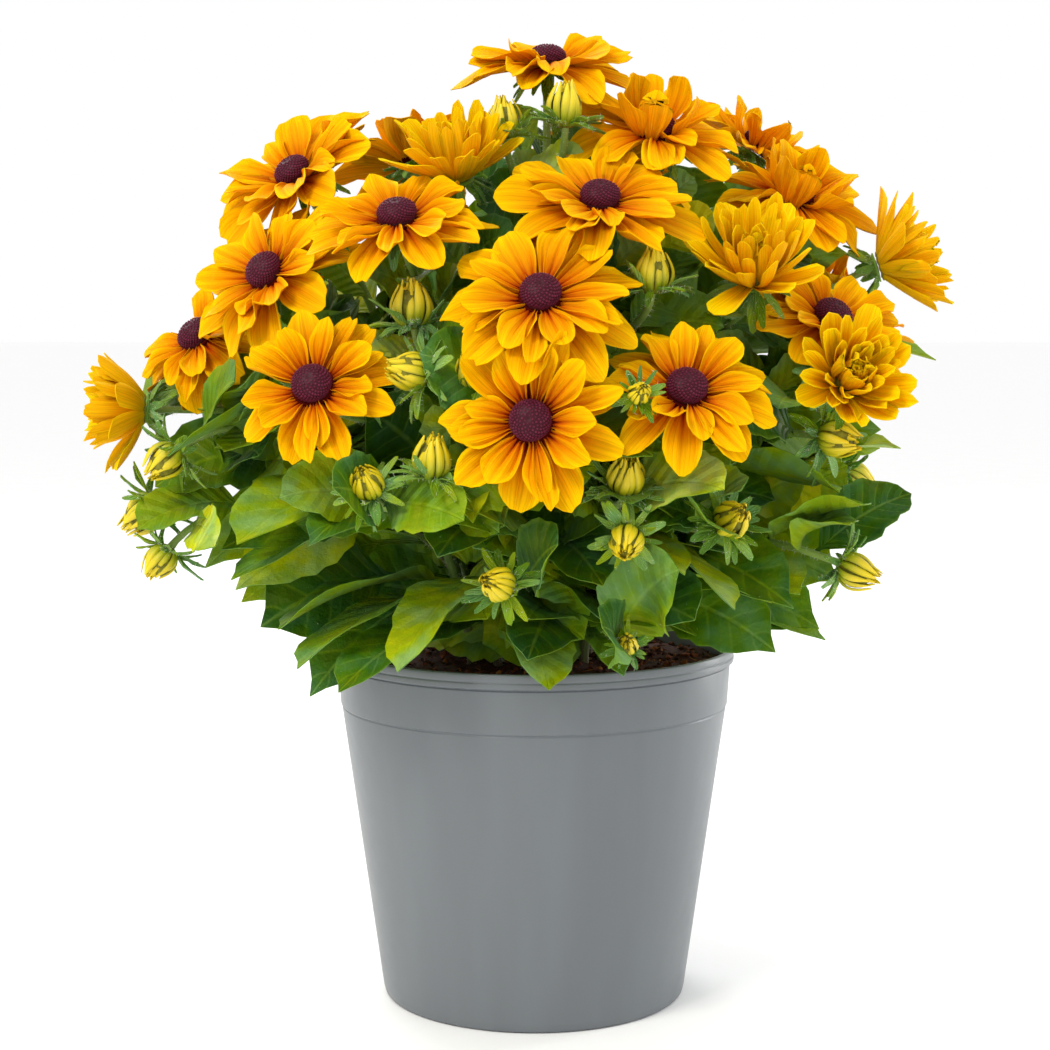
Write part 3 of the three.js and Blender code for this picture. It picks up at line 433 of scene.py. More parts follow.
class Graph:
    """The nodes of one material, round its surface shader."""

    def __init__(self, name: str, constants: dict[str, object]) -> None:
        """Starts a material.

        Args:
            name: The material's name.
            constants: Values for the sockets of the surface shader.
        """
        self.material = bpy.data.materials.new(name)
        self.material.use_nodes = True
        self.tree = self.material.node_tree
        self.surface = self.tree.nodes["Principled BSDF"]
        for socket, value in constants.items():
            self.surface.inputs[socket].default_value = value

    def add(
        self, kind: str, *values: object, stops: Stops = (), output: int | str = 0, **named: object
    ) -> Socket:
        """Adds a node.

        Args:
            kind: The node's type, without its ShaderNode prefix, and its operation where it has one.
            *values: What its first sockets hold: a socket to link from, or a value.
            stops: The places and colours of a colour ramp.
            output: The output that is wanted.
            **named: What the sockets of these names hold, and in small letters the node's own settings.

        Returns:
            That output of the new node.
        """
        kind, *operation = kind.split()
        node = self.tree.nodes.new(f"ShaderNode{kind}")
        if operation:
            node.operation = operation[0]
        sockets = dict(enumerate(values))
        for name, value in named.items():
            if name.islower():
                setattr(node, name, value)
            else:
                sockets[name] = value
        for key, value in sockets.items():
            if isinstance(value, Socket):
                self.tree.links.new(value, node.inputs[key])
            else:
                node.inputs[key].default_value = value
        for index, (place, colour) in enumerate(stops):
            elements = node.color_ramp.elements
            element = elements[index] if index < 2 else elements.new(place)
            element.position = place
            element.color = linear(colour)
        return node.outputs[output]

    def wear(self, socket: str, source: Socket) -> None:
        """Links a source to a socket of the surface shader."""
        self.tree.links.new(source, self.surface.inputs[socket])

    def blade(self) -> tuple[Socket, Socket, Socket, Socket]:
        """Returns the place on a blade, and its parts: across the blade, along it, and the blade's tone."""
        place = self.add("Attribute", output="Vector", attribute_name=BLADE_PLACE)
        across, along, tone = self.add("SeparateXYZ", place).node.outputs
        return place, across, along, tone

    def streaks(self, place: Socket, stretch: Triple, scale: float, detail: float) -> Socket:
        """Returns a noise of a scale and so many finer layers, drawn out by how much finer each axis is."""
        stretched = self.add("VectorMath MULTIPLY", place, stretch)
        return self.add("TexNoise", Vector=stretched, Scale=scale, Detail=detail)

    def swayed(self, value: Socket, noise: Socket, amount: float) -> Socket:
        """Returns a value that a noise carries up and down by half an amount."""
        shift = self.add("Math MULTIPLY_ADD", noise, amount, -0.5 * amount)
        return self.add("Math ADD", value, shift)

    def turned_under(self, top: Socket, tone: Socket, share: float, underside: str) -> Socket:
        """Returns a blade's colour, which goes over to another on its underside.

        Args:
            top: The colour of its upper side.
            tone: The blade's tone, which is less than 0 on the underside.
            share: How much of the other colour the underside takes.
            underside: The other colour.
        """
        under = self.add("Math LESS_THAN", tone, 0.0)
        weight = self.add("Math MULTIPLY", under, share)
        return self.add("MixRGB", weight, top, linear(underside))


@dataclass(frozen=True)
class Finish:
    """A surface's look: its name, its roughness, and the pattern that each kind of finish has its own of."""

    name: str
    roughness: float

    def constants(self) -> dict[str, object]:
        """Returns the values that are the same all over the surface."""
        return {"Roughness": self.roughness}

    def pattern(self, graph: Graph) -> None:
        """Adds the pattern to the surface shader. Each kind of finish has its own."""

    def make(self) -> bpy.types.Material:
        """Returns the finished material."""
        graph = Graph(self.name, self.constants())
        self.pattern(graph)
        return graph.material

    def skin(self, weight: float, spread: Triple, depth: float) -> dict[str, object]:
        """Returns the values of a living skin, where a share of the light spreads over a depth (mm)."""
        return {
            "Roughness": self.roughness,
            "Subsurface Weight": weight,
            "Subsurface Radius": spread,
            "Subsurface Scale": depth * MM,
        }


@dataclass(frozen=True)
class RayPetal(Finish):
    """Ray petals: thin, satin and a little translucent, flushed towards the disc and pleated lengthwise."""

    stops: Stops
    underside: str
    streak: float
    through: float
    under_share: float = 0.8
    rim: float = 0.22
    pleat: float = 0.07

    def constants(self) -> dict[str, object]:
        """Light passes some way through the thin petal, whose skin is waxy rather than glossy."""
        return {**self.skin(self.through, (1.0, 0.6, 0.01), 1.8), "Specular IOR Level": 0.03}

    def pattern(self, graph: Graph) -> None:
        """Colours the petal along its length, with streaks that run the same way."""
        place, across, along, tone = graph.blade()
        streaks = graph.streaks(place, (4.5, 0.7, 11.0), 1.6, 3.0)
        inward = graph.swayed(along, streaks, self.streak)
        side = graph.add("Math ABSOLUTE", across)
        edge = graph.add("Math POWER", side, 3.0)
        rimmed = graph.add("Math MULTIPLY_ADD", edge, self.rim, inward)
        # The pleats' creases take a deeper orange: partly the petal's own colour, partly painted shade in
        # the creases
        fold = graph.add("Math MULTIPLY", across, PLEATS * math.pi)
        pleat = graph.add("Math COSINE", fold)
        folded = graph.add("Math MULTIPLY_ADD", pleat, -self.pleat, rimmed)
        top = graph.add("ValToRGB", folded, stops=self.stops)
        sides = graph.turned_under(top, tone, self.under_share, self.underside)
        ribs = graph.streaks(place, (11.0, 0.7, 11.0), 1.3, 3.0)
        value = graph.add("MapRange", ribs, 0.36, 0.6, 0.8, 1.04)
        graph.wear("Base Color", graph.add("HueSaturation", Color=sides, Value=value))
        graph.wear("Normal", graph.add("Bump", Height=ribs, Strength=0.6, Distance=0.5 * MM))


@dataclass(frozen=True)
class DiscFloret(Finish):
    """Disc florets: matt plum cones with paler tips, so the dome has a fine, velvety grain."""

    stops: Stops

    def constants(self) -> dict[str, object]:
        """The cones are dull, with little shine."""
        return {"Roughness": self.roughness, "Specular IOR Level": 0.18}

    def pattern(self, graph: Graph) -> None:
        """Colours each floret from its foot to its tip, with its own tone."""
        _, _, along, tone = graph.blade()
        mixed = graph.add("Math MULTIPLY_ADD", tone, 0.5, along)
        graph.wear("Base Color", graph.add("ValToRGB", mixed, stops=self.stops))


@dataclass(frozen=True)
class HairyLeaf(Finish):
    """Leaves: matt and softly hairy, with pale veins, a paler underside and a yellower edge."""

    stops: Stops
    underside: str
    vein: str
    veins: float
    under_share: float = 0.62
    vein_strength: float = 0.24
    rim: float = 0.16
    patch: float = 12.5
    bloom: float = 18.0
    pucker: float = 2.1

    def constants(self) -> dict[str, object]:
        """The fine hairs give a pale sheen, and a leaf lets some light through."""
        return {
            **self.skin(0.12, (0.35, 1.0, 0.1), 1.2),
            "Sheen Weight": 0.03,
            "Sheen Roughness": 0.45,
            "Sheen Tint": linear("#e2e8b8"),
            "Specular IOR Level": 0.18,
        }

    def pattern(self, graph: Graph) -> None:
        """Draws a midrib and the side veins that curve up from it, and quilts the blade between them."""
        _, across, along, tone = graph.blade()
        spot = graph.add("TexCoord", output="Object")
        side = graph.add("Math ABSOLUTE", across)
        rows = graph.add("Math MULTIPLY", along, self.veins)
        climb = graph.add("Math MULTIPLY_ADD", side, -VEIN_SLANT, rows)
        wave = graph.add("Math PINGPONG", climb, 0.5)
        line = graph.add("MapRange", wave, 0.0, 0.1, 0.7, 0.0)
        short = graph.add("MapRange", side, 0.55, 0.98, 1.0, 0.0)
        lateral = graph.add("Math MULTIPLY", line, short)
        midrib = graph.add("MapRange", side, 0.02, 0.075, 1.0, 0.0)
        veins = graph.add("Math MAXIMUM", lateral, midrib)
        patches = graph.add("TexNoise", Vector=spot, Scale=grain(self.patch), Detail=4.0)
        depth = graph.add("Math ABSOLUTE", tone)
        spread = graph.add("Math MULTIPLY_ADD", patches, 0.55, -0.27)
        shade = graph.add("Math ADD", depth, spread)
        green = graph.add("ValToRGB", shade, stops=self.stops)
        strength = graph.add("Math MULTIPLY", veins, self.vein_strength)
        veined = graph.add("MixRGB", strength, green, linear(self.vein))
        rim = graph.add("MapRange", side, 0.86, 1.0, 0.0, self.rim)
        edged = graph.add("MixRGB", rim, veined, linear(self.vein))
        sides = graph.turned_under(edged, tone, self.under_share, self.underside)
        # A grey-green bloom of hairs lies in patches, and the skin between them is a fresher green
        drift = graph.add("TexNoise", Vector=spot, Scale=grain(self.bloom), Detail=6.0)
        hue = graph.add("MapRange", drift, 0.36, 0.66, 0.475, 0.542)
        pure = graph.add("MapRange", drift, 0.4, 0.7, 1.16, 0.76)
        bloomed = graph.add("HueSaturation", Hue=hue, Saturation=pure, Color=sides)
        graph.wear("Base Color", bloomed)
        # The skin puckers finely, and swells between the side veins
        skin = graph.add("TexNoise", Vector=spot, Scale=grain(self.pucker), Detail=3.0)
        swell = graph.add("Math MULTIPLY_ADD", wave, 2.2, skin)
        sunk = graph.add("Math MULTIPLY_ADD", midrib, -0.7, swell)
        graph.wear("Normal", graph.add("Bump", Height=sunk, Strength=0.6, Distance=0.9 * MM))


@dataclass(frozen=True)
class StreakedSkin(Finish):
    """A skin that changes colour along its length, with streaks that run the same way."""

    stops: Stops
    stretch: Triple
    scale: float
    detail: float
    streak: float
    relief: float
    bump: float

    def colour(self, graph: Graph, streaks: Socket, across: Socket, along: Socket) -> Socket:
        """Returns the colour at a place across and along the blade, carried up and down by the streaks."""
        return graph.add("ValToRGB", graph.swayed(along, streaks, self.streak), stops=self.stops)

    def pattern(self, graph: Graph) -> None:
        """Streaks the skin lengthwise and ribs it the same way."""
        place, across, along, _ = graph.blade()
        streaks = graph.streaks(place, self.stretch, self.scale, self.detail)
        graph.wear("Base Color", self.colour(graph, streaks, across, along))
        bump = graph.add("Bump", Height=streaks, Strength=self.bump, Distance=self.relief * MM)
        graph.wear("Normal", bump)


@dataclass(frozen=True)
class GreenStem(StreakedSkin):
    """Stems: ribbed lengthwise, green above and flushed dull purple near the compost."""

    def constants(self) -> dict[str, object]:
        """Short hairs give the stem a pale sheen."""
        return {
            **self.skin(0.08, (0.4, 1.0, 0.2), 1.5),
            "Sheen Weight": 0.3,
            "Sheen Roughness": 0.4,
            "Sheen Tint": linear("#e6ecd0"),
        }


@dataclass(frozen=True)
class YoungStrap(StreakedSkin):
    """The unopened petals of a bud: firm yellow-green straps, greener at the foot, darker at the edges."""

    edge: str = "#94960e"

    def constants(self) -> dict[str, object]:
        """A young petal is waxy and lets a little light through."""
        return self.skin(0.15, (1.0, 0.9, 0.2), 1.2)

    def colour(self, graph: Graph, streaks: Socket, across: Socket, along: Socket) -> Socket:
        """Returns the streaked colour, darkened at the edges of the strap."""
        middle = super().colour(graph, streaks, across, along)
        side = graph.add("Math ABSOLUTE", across)
        share = graph.add("MapRange", side, 0.62, 1.0, 0.0, 0.75)
        return graph.add("MixRGB", share, middle, linear(self.edge))


@dataclass(frozen=True)
class SpeckledFinish(Finish):
    """A finish whose colour runs between a few shades in patches of a real size."""

    stops: Stops
    patch: float
    relief: float

    def pattern(self, graph: Graph) -> None:
        """Mixes the shades by noise and raises a grain of the same size."""
        spot = graph.add("TexCoord", output="Object")
        patches = graph.add("TexNoise", Vector=spot, Scale=grain(self.patch), Detail=5.0)
        graph.wear("Base Color", graph.add("ValToRGB", patches, stops=self.stops))
        if self.relief:
            bump = graph.add("Bump", Height=patches, Strength=0.8, Distance=self.relief * MM)
            graph.wear("Normal", bump)


@dataclass(frozen=True)
class MouldedPot(Finish):
    """Injection moulded polypropylene: an even grey satin with faint streaks and a very fine grain."""

    stops: Stops
    streak: float = 22.0
    scuff: float = 7.0
    texture: float = 0.7

    def constants(self) -> dict[str, object]:
        """Polypropylene has an IOR of about 1.49."""
        return {"Roughness": self.roughness, "IOR": 1.49}

    def pattern(self, graph: Graph) -> None:
        """Streaks the grey the way that the pot left its mould, and varies the gloss over millimetres."""
        spot = graph.add("TexCoord", output="Object")
        cloud = graph.streaks(spot, (1.0, 1.0, 0.08), grain(self.streak), 3.0)
        graph.wear("Base Color", graph.add("ValToRGB", cloud, stops=self.stops))
        scuff = graph.add("TexNoise", Vector=spot, Scale=grain(self.scuff), Detail=4.0)
        dull = self.roughness + 0.05
        graph.wear("Roughness", graph.add("MapRange", scuff, 0.3, 0.7, self.roughness, dull))
        texture = graph.add("TexNoise", Vector=spot, Scale=grain(self.texture), Detail=1.0)
        graph.wear("Normal", graph.add("Bump", Height=texture, Strength=0.1, Distance=0.04 * MM))


@dataclass(frozen=True)
class CompostCrumb(Finish):
    """Peat and bark compost: damp dark crumbs with redder fibres and paler shreds of bark."""

    stops: Stops
    crumb: float = 2.4

    def pattern(self, graph: Graph) -> None:
        """Gives each crumb its own brown and a rough skin."""
        _, _, _, tone = graph.blade()
        spot = graph.add("TexCoord", output="Object")
        rough = graph.add("TexNoise", Vector=spot, Scale=grain(self.crumb), Detail=5.0)
        graph.wear("Base Color", graph.add("ValToRGB", graph.swayed(tone, rough, 0.7), stops=self.stops))
        graph.wear("Normal", graph.add("Bump", Height=rough, Strength=0.9, Distance=MM))


GOLDEN_STOPS = (
    (0.0, "#520c06"), (0.055, "#8e2404"), (0.15, "#c25203"), (0.3, "#da7a02"), (0.52, "#e69500"),
    (0.8, "#f0aa00"), (1.0, "#fabe00"),
)
LEMON_STOPS = ((0.0, "#9c9a0c"), (0.14, "#dca804"), (0.4, "#f2b200"), (0.7, "#fcc200"), (1.0, "#ffd008"))
PLUM_STOPS = ((0.0, "#28060f"), (0.3, "#420d1d"), (0.6, "#58152d"), (1.0, "#742844"))
LEAF_STOPS = ((0.0, "#204612"), (0.3, "#426a14"), (0.6, "#70901e"), (0.85, "#a0b42e"), (1.0, "#cad040"))
BRACT_STOPS = ((0.0, "#4a701c"), (0.5, "#729634"), (1.0, "#9cb850"))
STEM_STOPS = ((0.0, "#5b4033"), (0.12, "#66613a"), (0.3, "#6c8a3a"), (0.8, "#86a544"), (1.0, "#93ad55"))
STRAP_STOPS = ((0.0, "#6c8a16"), (0.25, "#a8ae12"), (0.6, "#dcc60c"), (1.0, "#f0d210"))
HEART_STOPS = ((0.3, "#565208"), (0.7, "#86820e"))
HAIR_STOPS = ((0.3, "#cfd8b4"), (0.7, "#eef2df"))
POT_STOPS = ((0.25, "#64696d"), (0.5, "#676c70"), (0.75, "#6a7074"))
COMPOST_STOPS = ((0.0, "#1e0e04"), (0.3, "#481f09"), (0.6, "#723412"), (0.85, "#8e4a1e"), (1.0, "#a86a30"))
FLOOR_STOPS = ((0.3, "#fafafa"), (0.7, "#fcfcfc"))


class Look(Enum):
    """Every finish of the plant and its pot."""

    RAY = RayPetal("golden_ray_petal", 0.62, GOLDEN_STOPS, "#eca008", 0.26, 0.28)
    QUILL = RayPetal("yellow_quilled_petal", 0.62, LEMON_STOPS, "#e6ae0c", 0.2, 0.5)
    FLORET = DiscFloret("plum_disc_floret", 0.5, PLUM_STOPS)
    LEAF = HairyLeaf("hairy_green_leaf", 0.55, LEAF_STOPS, "#86a43a", "#a8c450", 8.0)
    BRACT = HairyLeaf("hairy_green_bract", 0.6, BRACT_STOPS, "#8fb04c", "#abc866", 3.0)
    STEM = GreenStem("ribbed_green_stem", 0.55, STEM_STOPS, (5.0, 2.4, 7.0), 2.2, 3.0, 0.5, 0.5, 0.5)
    STRAP = YoungStrap(
        "young_yellow_green_petal", 0.5, STRAP_STOPS, (4.0, 1.0, 9.0), 1.8, 2.0, 0.4, 0.4, 0.3
    )
    HEART = SpeckledFinish("dark_heart_of_a_bud", 0.8, HEART_STOPS, 2.0, 0.3)
    HAIR = SpeckledFinish("pale_plant_hair", 0.5, HAIR_STOPS, 6.0, 0.0)
    POT = MouldedPot("moulded_grey_polypropylene", 0.34, POT_STOPS)
    COMPOST = CompostCrumb("peat_and_bark_compost", 0.95, COMPOST_STOPS)
    FLOOR = SpeckledFinish("matt_white_paint", 0.9, FLOOR_STOPS, 60.0, 0.0)

    @property
    def material(self) -> bpy.types.Material:
        """The finish's material, made at its first use."""
        return bpy.data.materials.get(self.value.name) or self.value.make()


# Making meshes


def new_part() -> Part:
    """Returns an empty mesh whose vertices can tell their place on a blade."""
    part = bmesh.new()
    part.verts.layers.float_vector.new(BLADE_PLACE)
    return part


def tinted(part: Part, place: Triple) -> Part:
    """Gives every vertex of a part the same place and tone, and returns the part."""
    layer = part.verts.layers.float_vector[BLADE_PLACE]
    for vert in part.verts:
        vert[layer] = place
    return part


def moved(part: Part, place: Matrix) -> Part:
    """Moves a part, and returns it."""
    bmesh.ops.transform(part, matrix=place, verts=part.verts[:])
    return part


def as_mesh(part: Part, name: str) -> bpy.types.Mesh:
    """Turns a part into a mesh and uses it up."""
    mesh = bpy.data.meshes.new(name)
    part.to_mesh(mesh)
    part.free()
    return mesh


def add_object(name: str, data: bpy.types.ID) -> bpy.types.Object:
    """Adds an object to the scene, and returns it."""
    thing = bpy.data.objects.new(name, data)
    bpy.context.scene.collection.objects.link(thing)
    return thing


def pointing(spot: Vector, direction: Vector, size: Triple) -> Matrix:
    """Returns where a shape of a size stands when its Z axis points in a direction."""
    turned = direction.to_track_quat("Z", "Y").to_matrix().to_4x4()
    return Matrix.Translation(spot) @ turned @ Matrix.Diagonal((*size, 1.0))


class Casting:
    """A piece while it is put together from parts."""

    def __init__(self, name: str, *looks: Look) -> None:
        """Starts an empty piece.

        Args:
            name: The piece's name.
            *looks: Its finishes, in the order that its parts count them.
        """
        self.name = name
        self.looks = looks
        self.whole = new_part()
        self.scratch = bpy.data.meshes.new(f"{name}_part")

    def pour(self, part: Part, finish: int = 0, place: Matrix | None = None) -> None:
        """Adds a part and uses it up.

        Args:
            part: The part, in its own frame.
            finish: The index of its finish.
            place: Where its frame stands, or None where it is in place.
        """
        for face in part.faces:
            face.material_index = finish
            face.smooth = True
        part.to_mesh(self.scratch)
        part.free()
        if place is not None:
            self.scratch.transform(place)
        self.whole.from_mesh(self.scratch)

    def stamp(self, shape: bpy.types.Mesh, place: Matrix) -> None:
        """Adds a copy of a finished shape at a place."""
        copy = shape.copy()
        copy.transform(place)
        self.whole.from_mesh(copy)
        bpy.data.meshes.remove(copy)

    def finish(self, slot: str, *nodes: str, crease: float = 50.0) -> None:
        """Turns the casting, in millimetres, into a finished piece that rides on the plant.

        Args:
            slot: The record's material slot for the piece, which is not used.
            *nodes: The plain solids that the piece stands for.
            crease: The angle, in degrees, past which an edge is sharp.
        """
        bpy.data.meshes.remove(self.scratch)
        mesh = as_mesh(self.whole, self.name)
        mesh.transform(Matrix.Scale(MM, 4))
        mesh.set_sharp_from_angle(angle=math.radians(crease))
        for look in self.looks:
            mesh.materials.append(look.material)
        piece = add_object(self.name, mesh)
        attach(piece, "root")
        if nodes:
            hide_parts(*nodes)
        triangles = sum(len(face.vertices) - 2 for face in mesh.polygons)
        LOG.info("%s: %d triangles", self.name, triangles)


@dataclass
class Sheet:
    """A flat two-sided blade of cells, from which every petal or leaf of one kind is bent."""

    columns: int
    rows: int
    cells: list[tuple[int, int, bool]] = field(init=False)
    mesh: bpy.types.Mesh = field(init=False)

    THINNING = 0.55

    def __post_init__(self) -> None:
        """Makes the flat blade once."""
        columns, rows = self.columns, self.rows
        flat = new_part()
        bmesh.ops.create_grid(flat, x_segments=columns, y_segments=rows, size=0.5)
        bmesh.ops.solidify(flat, geom=flat.faces[:], thickness=0.1)
        self.cells = [
            (round((vert.co.x + 0.5) * columns), round((vert.co.y + 0.5) * rows), vert.co.z < -0.05)
            for vert in flat.verts
        ]
        self.mesh = as_mesh(flat, f"sheet_{columns}_{rows}")

    def bend(self, surface: Surface, thickness: float, tone: float) -> Part:
        """Bends the blade to a surface, with finer cells and less thickness towards its edges.

        Args:
            surface: Gives the point at a place across and along the blade.
            thickness: The blade's thickness in its middle.
            tone: The blade's own tone, from 0 to 1.

        Returns:
            The closed blade.
        """
        last, end = self.columns, self.rows
        spots = [math.sin(math.pi * (column / last - 0.5)) for column in range(last + 1)]
        points = {
            (column, row): surface(across, row / end)
            for column, across in enumerate(spots)
            for row in range(end + 1)
        }
        blade = bmesh.new()
        blade.from_mesh(self.mesh)
        layer = blade.verts.layers.float_vector[BLADE_PLACE]
        for vert, (column, row, is_under) in zip(blade.verts, self.cells):
            across = spots[column]
            vert.co = points[column, row]
            vert[layer] = (across, row / end, -tone if is_under else tone)
            if is_under:
                sideways = points[min(last, column + 1), row] - points[max(0, column - 1), row]
                lengthwise = points[column, min(end, row + 1)] - points[column, max(0, row - 1)]
                depth = thickness * (1 - self.THINNING * across**4)
                vert.co -= sideways.cross(lengthwise).normalized() * depth
        return blade


def tube(
    path: Callable[[float], Vector], radius: Callable[[float], float], sides: int, steps: int, tone: float
) -> Part:
    """Draws a closed tube along a path, without twist.

    Args:
        path: The point at each share of the path.
        radius: The tube's radius at each share.
        sides: The number of its sides.
        steps: The number of its steps.
        tone: The tone of its vertices.

    Returns:
        The tube.
    """
    part = new_part()
    layer = part.verts.layers.float_vector[BLADE_PLACE]
    ring = bmesh.ops.create_circle(part, segments=sides, radius=1.0)["verts"]
    edges = part.edges[:]
    for vert in ring:
        vert[layer] = (math.atan2(vert.co.y, vert.co.x) / math.pi, 0.0, tone)
    bmesh.ops.edgeloop_fill(part, edges=edges)
    before = Matrix.Identity(4)
    side = Vector((1.0, 0.0, 0.0))
    for step in range(steps + 1):
        share = step / steps
        tangent = (path(min(1.0, share + 0.01)) - path(max(0.0, share - 0.01))).normalized()
        side = (side - tangent * side.dot(tangent)).normalized()
        turned = Matrix((side, tangent.cross(side), tangent)).transposed().to_4x4()
        frame = Matrix.Translation(path(share)) @ turned @ Matrix.Scale(radius(share), 4)
        if step:
            made = bmesh.ops.extrude_edge_only(part, edges=edges)["geom"]
            ring = [item for item in made if isinstance(item, bmesh.types.BMVert)]
            corners = set(ring)
            lines = [item for item in made if isinstance(item, bmesh.types.BMEdge)]
            edges = [line for line in lines if corners.issuperset(line.verts)]
        bmesh.ops.transform(part, matrix=frame @ before.inverted(), verts=ring)
        for vert in ring:
            vert[layer] = (vert[layer].x, share, tone)
        before = frame
    bmesh.ops.edgeloop_fill(part, edges=edges)
    bmesh.ops.recalc_face_normals(part, faces=part.faces[:])
    return part


def rounded(profile: Sequence[tuple[float, ...]], segments: int) -> list[tuple[float, float]]:
    """Rounds the corners of a profile.

    Args:
        profile: Radii and heights, and how far from a corner its rounding starts, where it has one.
        segments: The steps of each rounding.

    Returns:
        Radii and heights along the rounded profile.
    """
    points: list[tuple[float, float]] = []
    for index, (radius, height, *cuts) in enumerate(profile):
        if not cuts:
            points.append((radius, height))
            continue
        corner = Vector((radius, height))
        before, after = Vector(profile[index - 1][:2]), Vector(profile[index + 1][:2])
        start = corner + (before - corner).normalized() * cuts[0]
        end = corner + (after - corner).normalized() * cuts[0]
        for step in range(segments + 1):
            share = step / segments
            point = start.lerp(corner, share).lerp(corner.lerp(end, share), share)
            points.append((point.x, point.y))
    return points


def turned_shape(profile: Sequence[tuple[float, ...]], steps: int, segments: int = 3) -> Part:
    """Turns a profile round the Z axis.

    Args:
        profile: Radii and heights from axis to axis, and how far from a corner its rounding starts.
        steps: The number of steps in the full turn.
        segments: The steps of each rounding.

    Returns:
        The turned shape, its faces pointing out.
    """
    part = new_part()
    corners = [part.verts.new((radius, 0.0, height)) for radius, height in rounded(profile, segments)]
    edges = [part.edges.new(pair) for pair in zip(corners, corners[1:])]
    bmesh.ops.spin(
        part, geom=corners + edges, cent=(0, 0, 0), axis=(0, 0, 1), angle=TURN, steps=steps, use_merge=True
    )
    bmesh.ops.remove_doubles(part, verts=part.verts[:], dist=1e-4)
    bmesh.ops.recalc_face_normals(part, faces=part.faces[:])
    return part


@dataclass(frozen=True)
class Coat:
    """A coat of hairs: how many a square millimetre has, their length, and their radius at the foot."""

    density: float
    length: float
    thickness: float


STEM_COAT = Coat(0.2, 2.3, 0.1)
BRACT_COAT = Coat(0.13, 1.9, 0.095)
STRAP_COAT = Coat(0.025, 1.1, 0.07)
LEAF_COAT = Coat(0.003, 1.2, 0.07)


@dataclass
class Fuzz:
    """Soft plant hairs, each a slim three-sided spike.

    A real hair is about 0.05 mm thick. These are drawn thicker, so that they show.
    """

    casting: Casting
    rng: random.Random
    spike: bpy.types.Mesh = field(init=False)

    SHORTEST = 0.55
    LEAN = 0.45
    SUNK = 0.1

    def __post_init__(self) -> None:
        """Makes the one spike that every hair copies."""
        spike = new_part()
        bmesh.ops.create_cone(
            spike, cap_ends=False, segments=3, radius1=1.0, radius2=0.0, depth=1.0,
            matrix=Matrix.Translation((0, 0, 0.5)),
        )
        self.spike = as_mesh(spike, "hair_spike")

    def cover(self, part: Part, coat: Coat) -> Part:
        """Grows hairs over a part.

        Args:
            part: The part, in place.
            coat: Its coat.

        Returns:
            The part.
        """
        part.normal_update()
        rng = self.rng
        faces = part.faces[:]
        areas = [face.calc_area() for face in faces]
        for face in rng.choices(faces, weights=areas, k=int(sum(areas) * coat.density)):
            shares = [rng.random() for _ in face.verts]
            root = sum((v.co * s for v, s in zip(face.verts, shares)), Vector()) / sum(shares)
            lean = Vector([rng.uniform(-1, 1) for _ in range(3)])
            direction = (face.normal + lean * self.LEAN).normalized()
            size = (coat.thickness, coat.thickness, coat.length * rng.uniform(self.SHORTEST, 1.0))
            self.casting.stamp(self.spike, pointing(root - direction * self.SUNK, direction, size))
        return part


# Blades: petals, leaves and bracts


@dataclass(frozen=True)
class Blade:
    """A petal or leaf before it has a shape: one smooth midline from its base past a bend to its tip."""

    base: Vector
    bend: Vector
    tip: Vector
    up: Vector
    width: float
    cup: float
    roll: float

    def frame(self, share: float) -> tuple[Vector, Vector, Vector]:
        """Returns the point, the sideways direction and the normal at a share of the length."""
        middle = self.base * (1 - share) ** 2 + self.bend * (2 * share * (1 - share)) + self.tip * share**2
        tangent = ((self.bend - self.base) * (1 - share) + (self.tip - self.bend) * share).normalized()
        side = Quaternion(tangent, self.roll) @ tangent.cross(self.up).normalized()
        return middle, side, side.cross(tangent)


@dataclass(frozen=True)
class Ray:
    """How a petal or bract stands in its head's own frame.

    It leaves at an angle, a start from the axis and a height along it. Its first half slopes by its lift
    and its second half turns from that by its bow, both in degrees. Its edges stand up by its cup, a share
    of half its width, and it turns about its own midline by its roll. Angle and roll are in radians.
    """

    angle: float
    start: float
    height: float
    lift: float
    bow: float
    length: float
    width: float
    cup: float
    roll: float

    def blade(self, more: float = 0.0, longer: float = 1.0) -> Blade:
        """Lays out the midline, with the lift and the scale of length that a try adds."""
        flat = level(self.angle)
        lift = self.lift + more
        rise, fall = math.radians(lift), math.radians(lift + self.bow)
        half = self.length * longer / 2
        base = flat * self.start + UP * self.height
        bend = base + flat * (half * math.cos(rise)) + UP * (half * math.sin(rise))
        tip = bend + flat * (half * math.cos(fall)) + UP * (half * math.sin(fall))
        return Blade(base, bend, tip, UP - flat * 0.3, self.width, self.cup, self.roll)


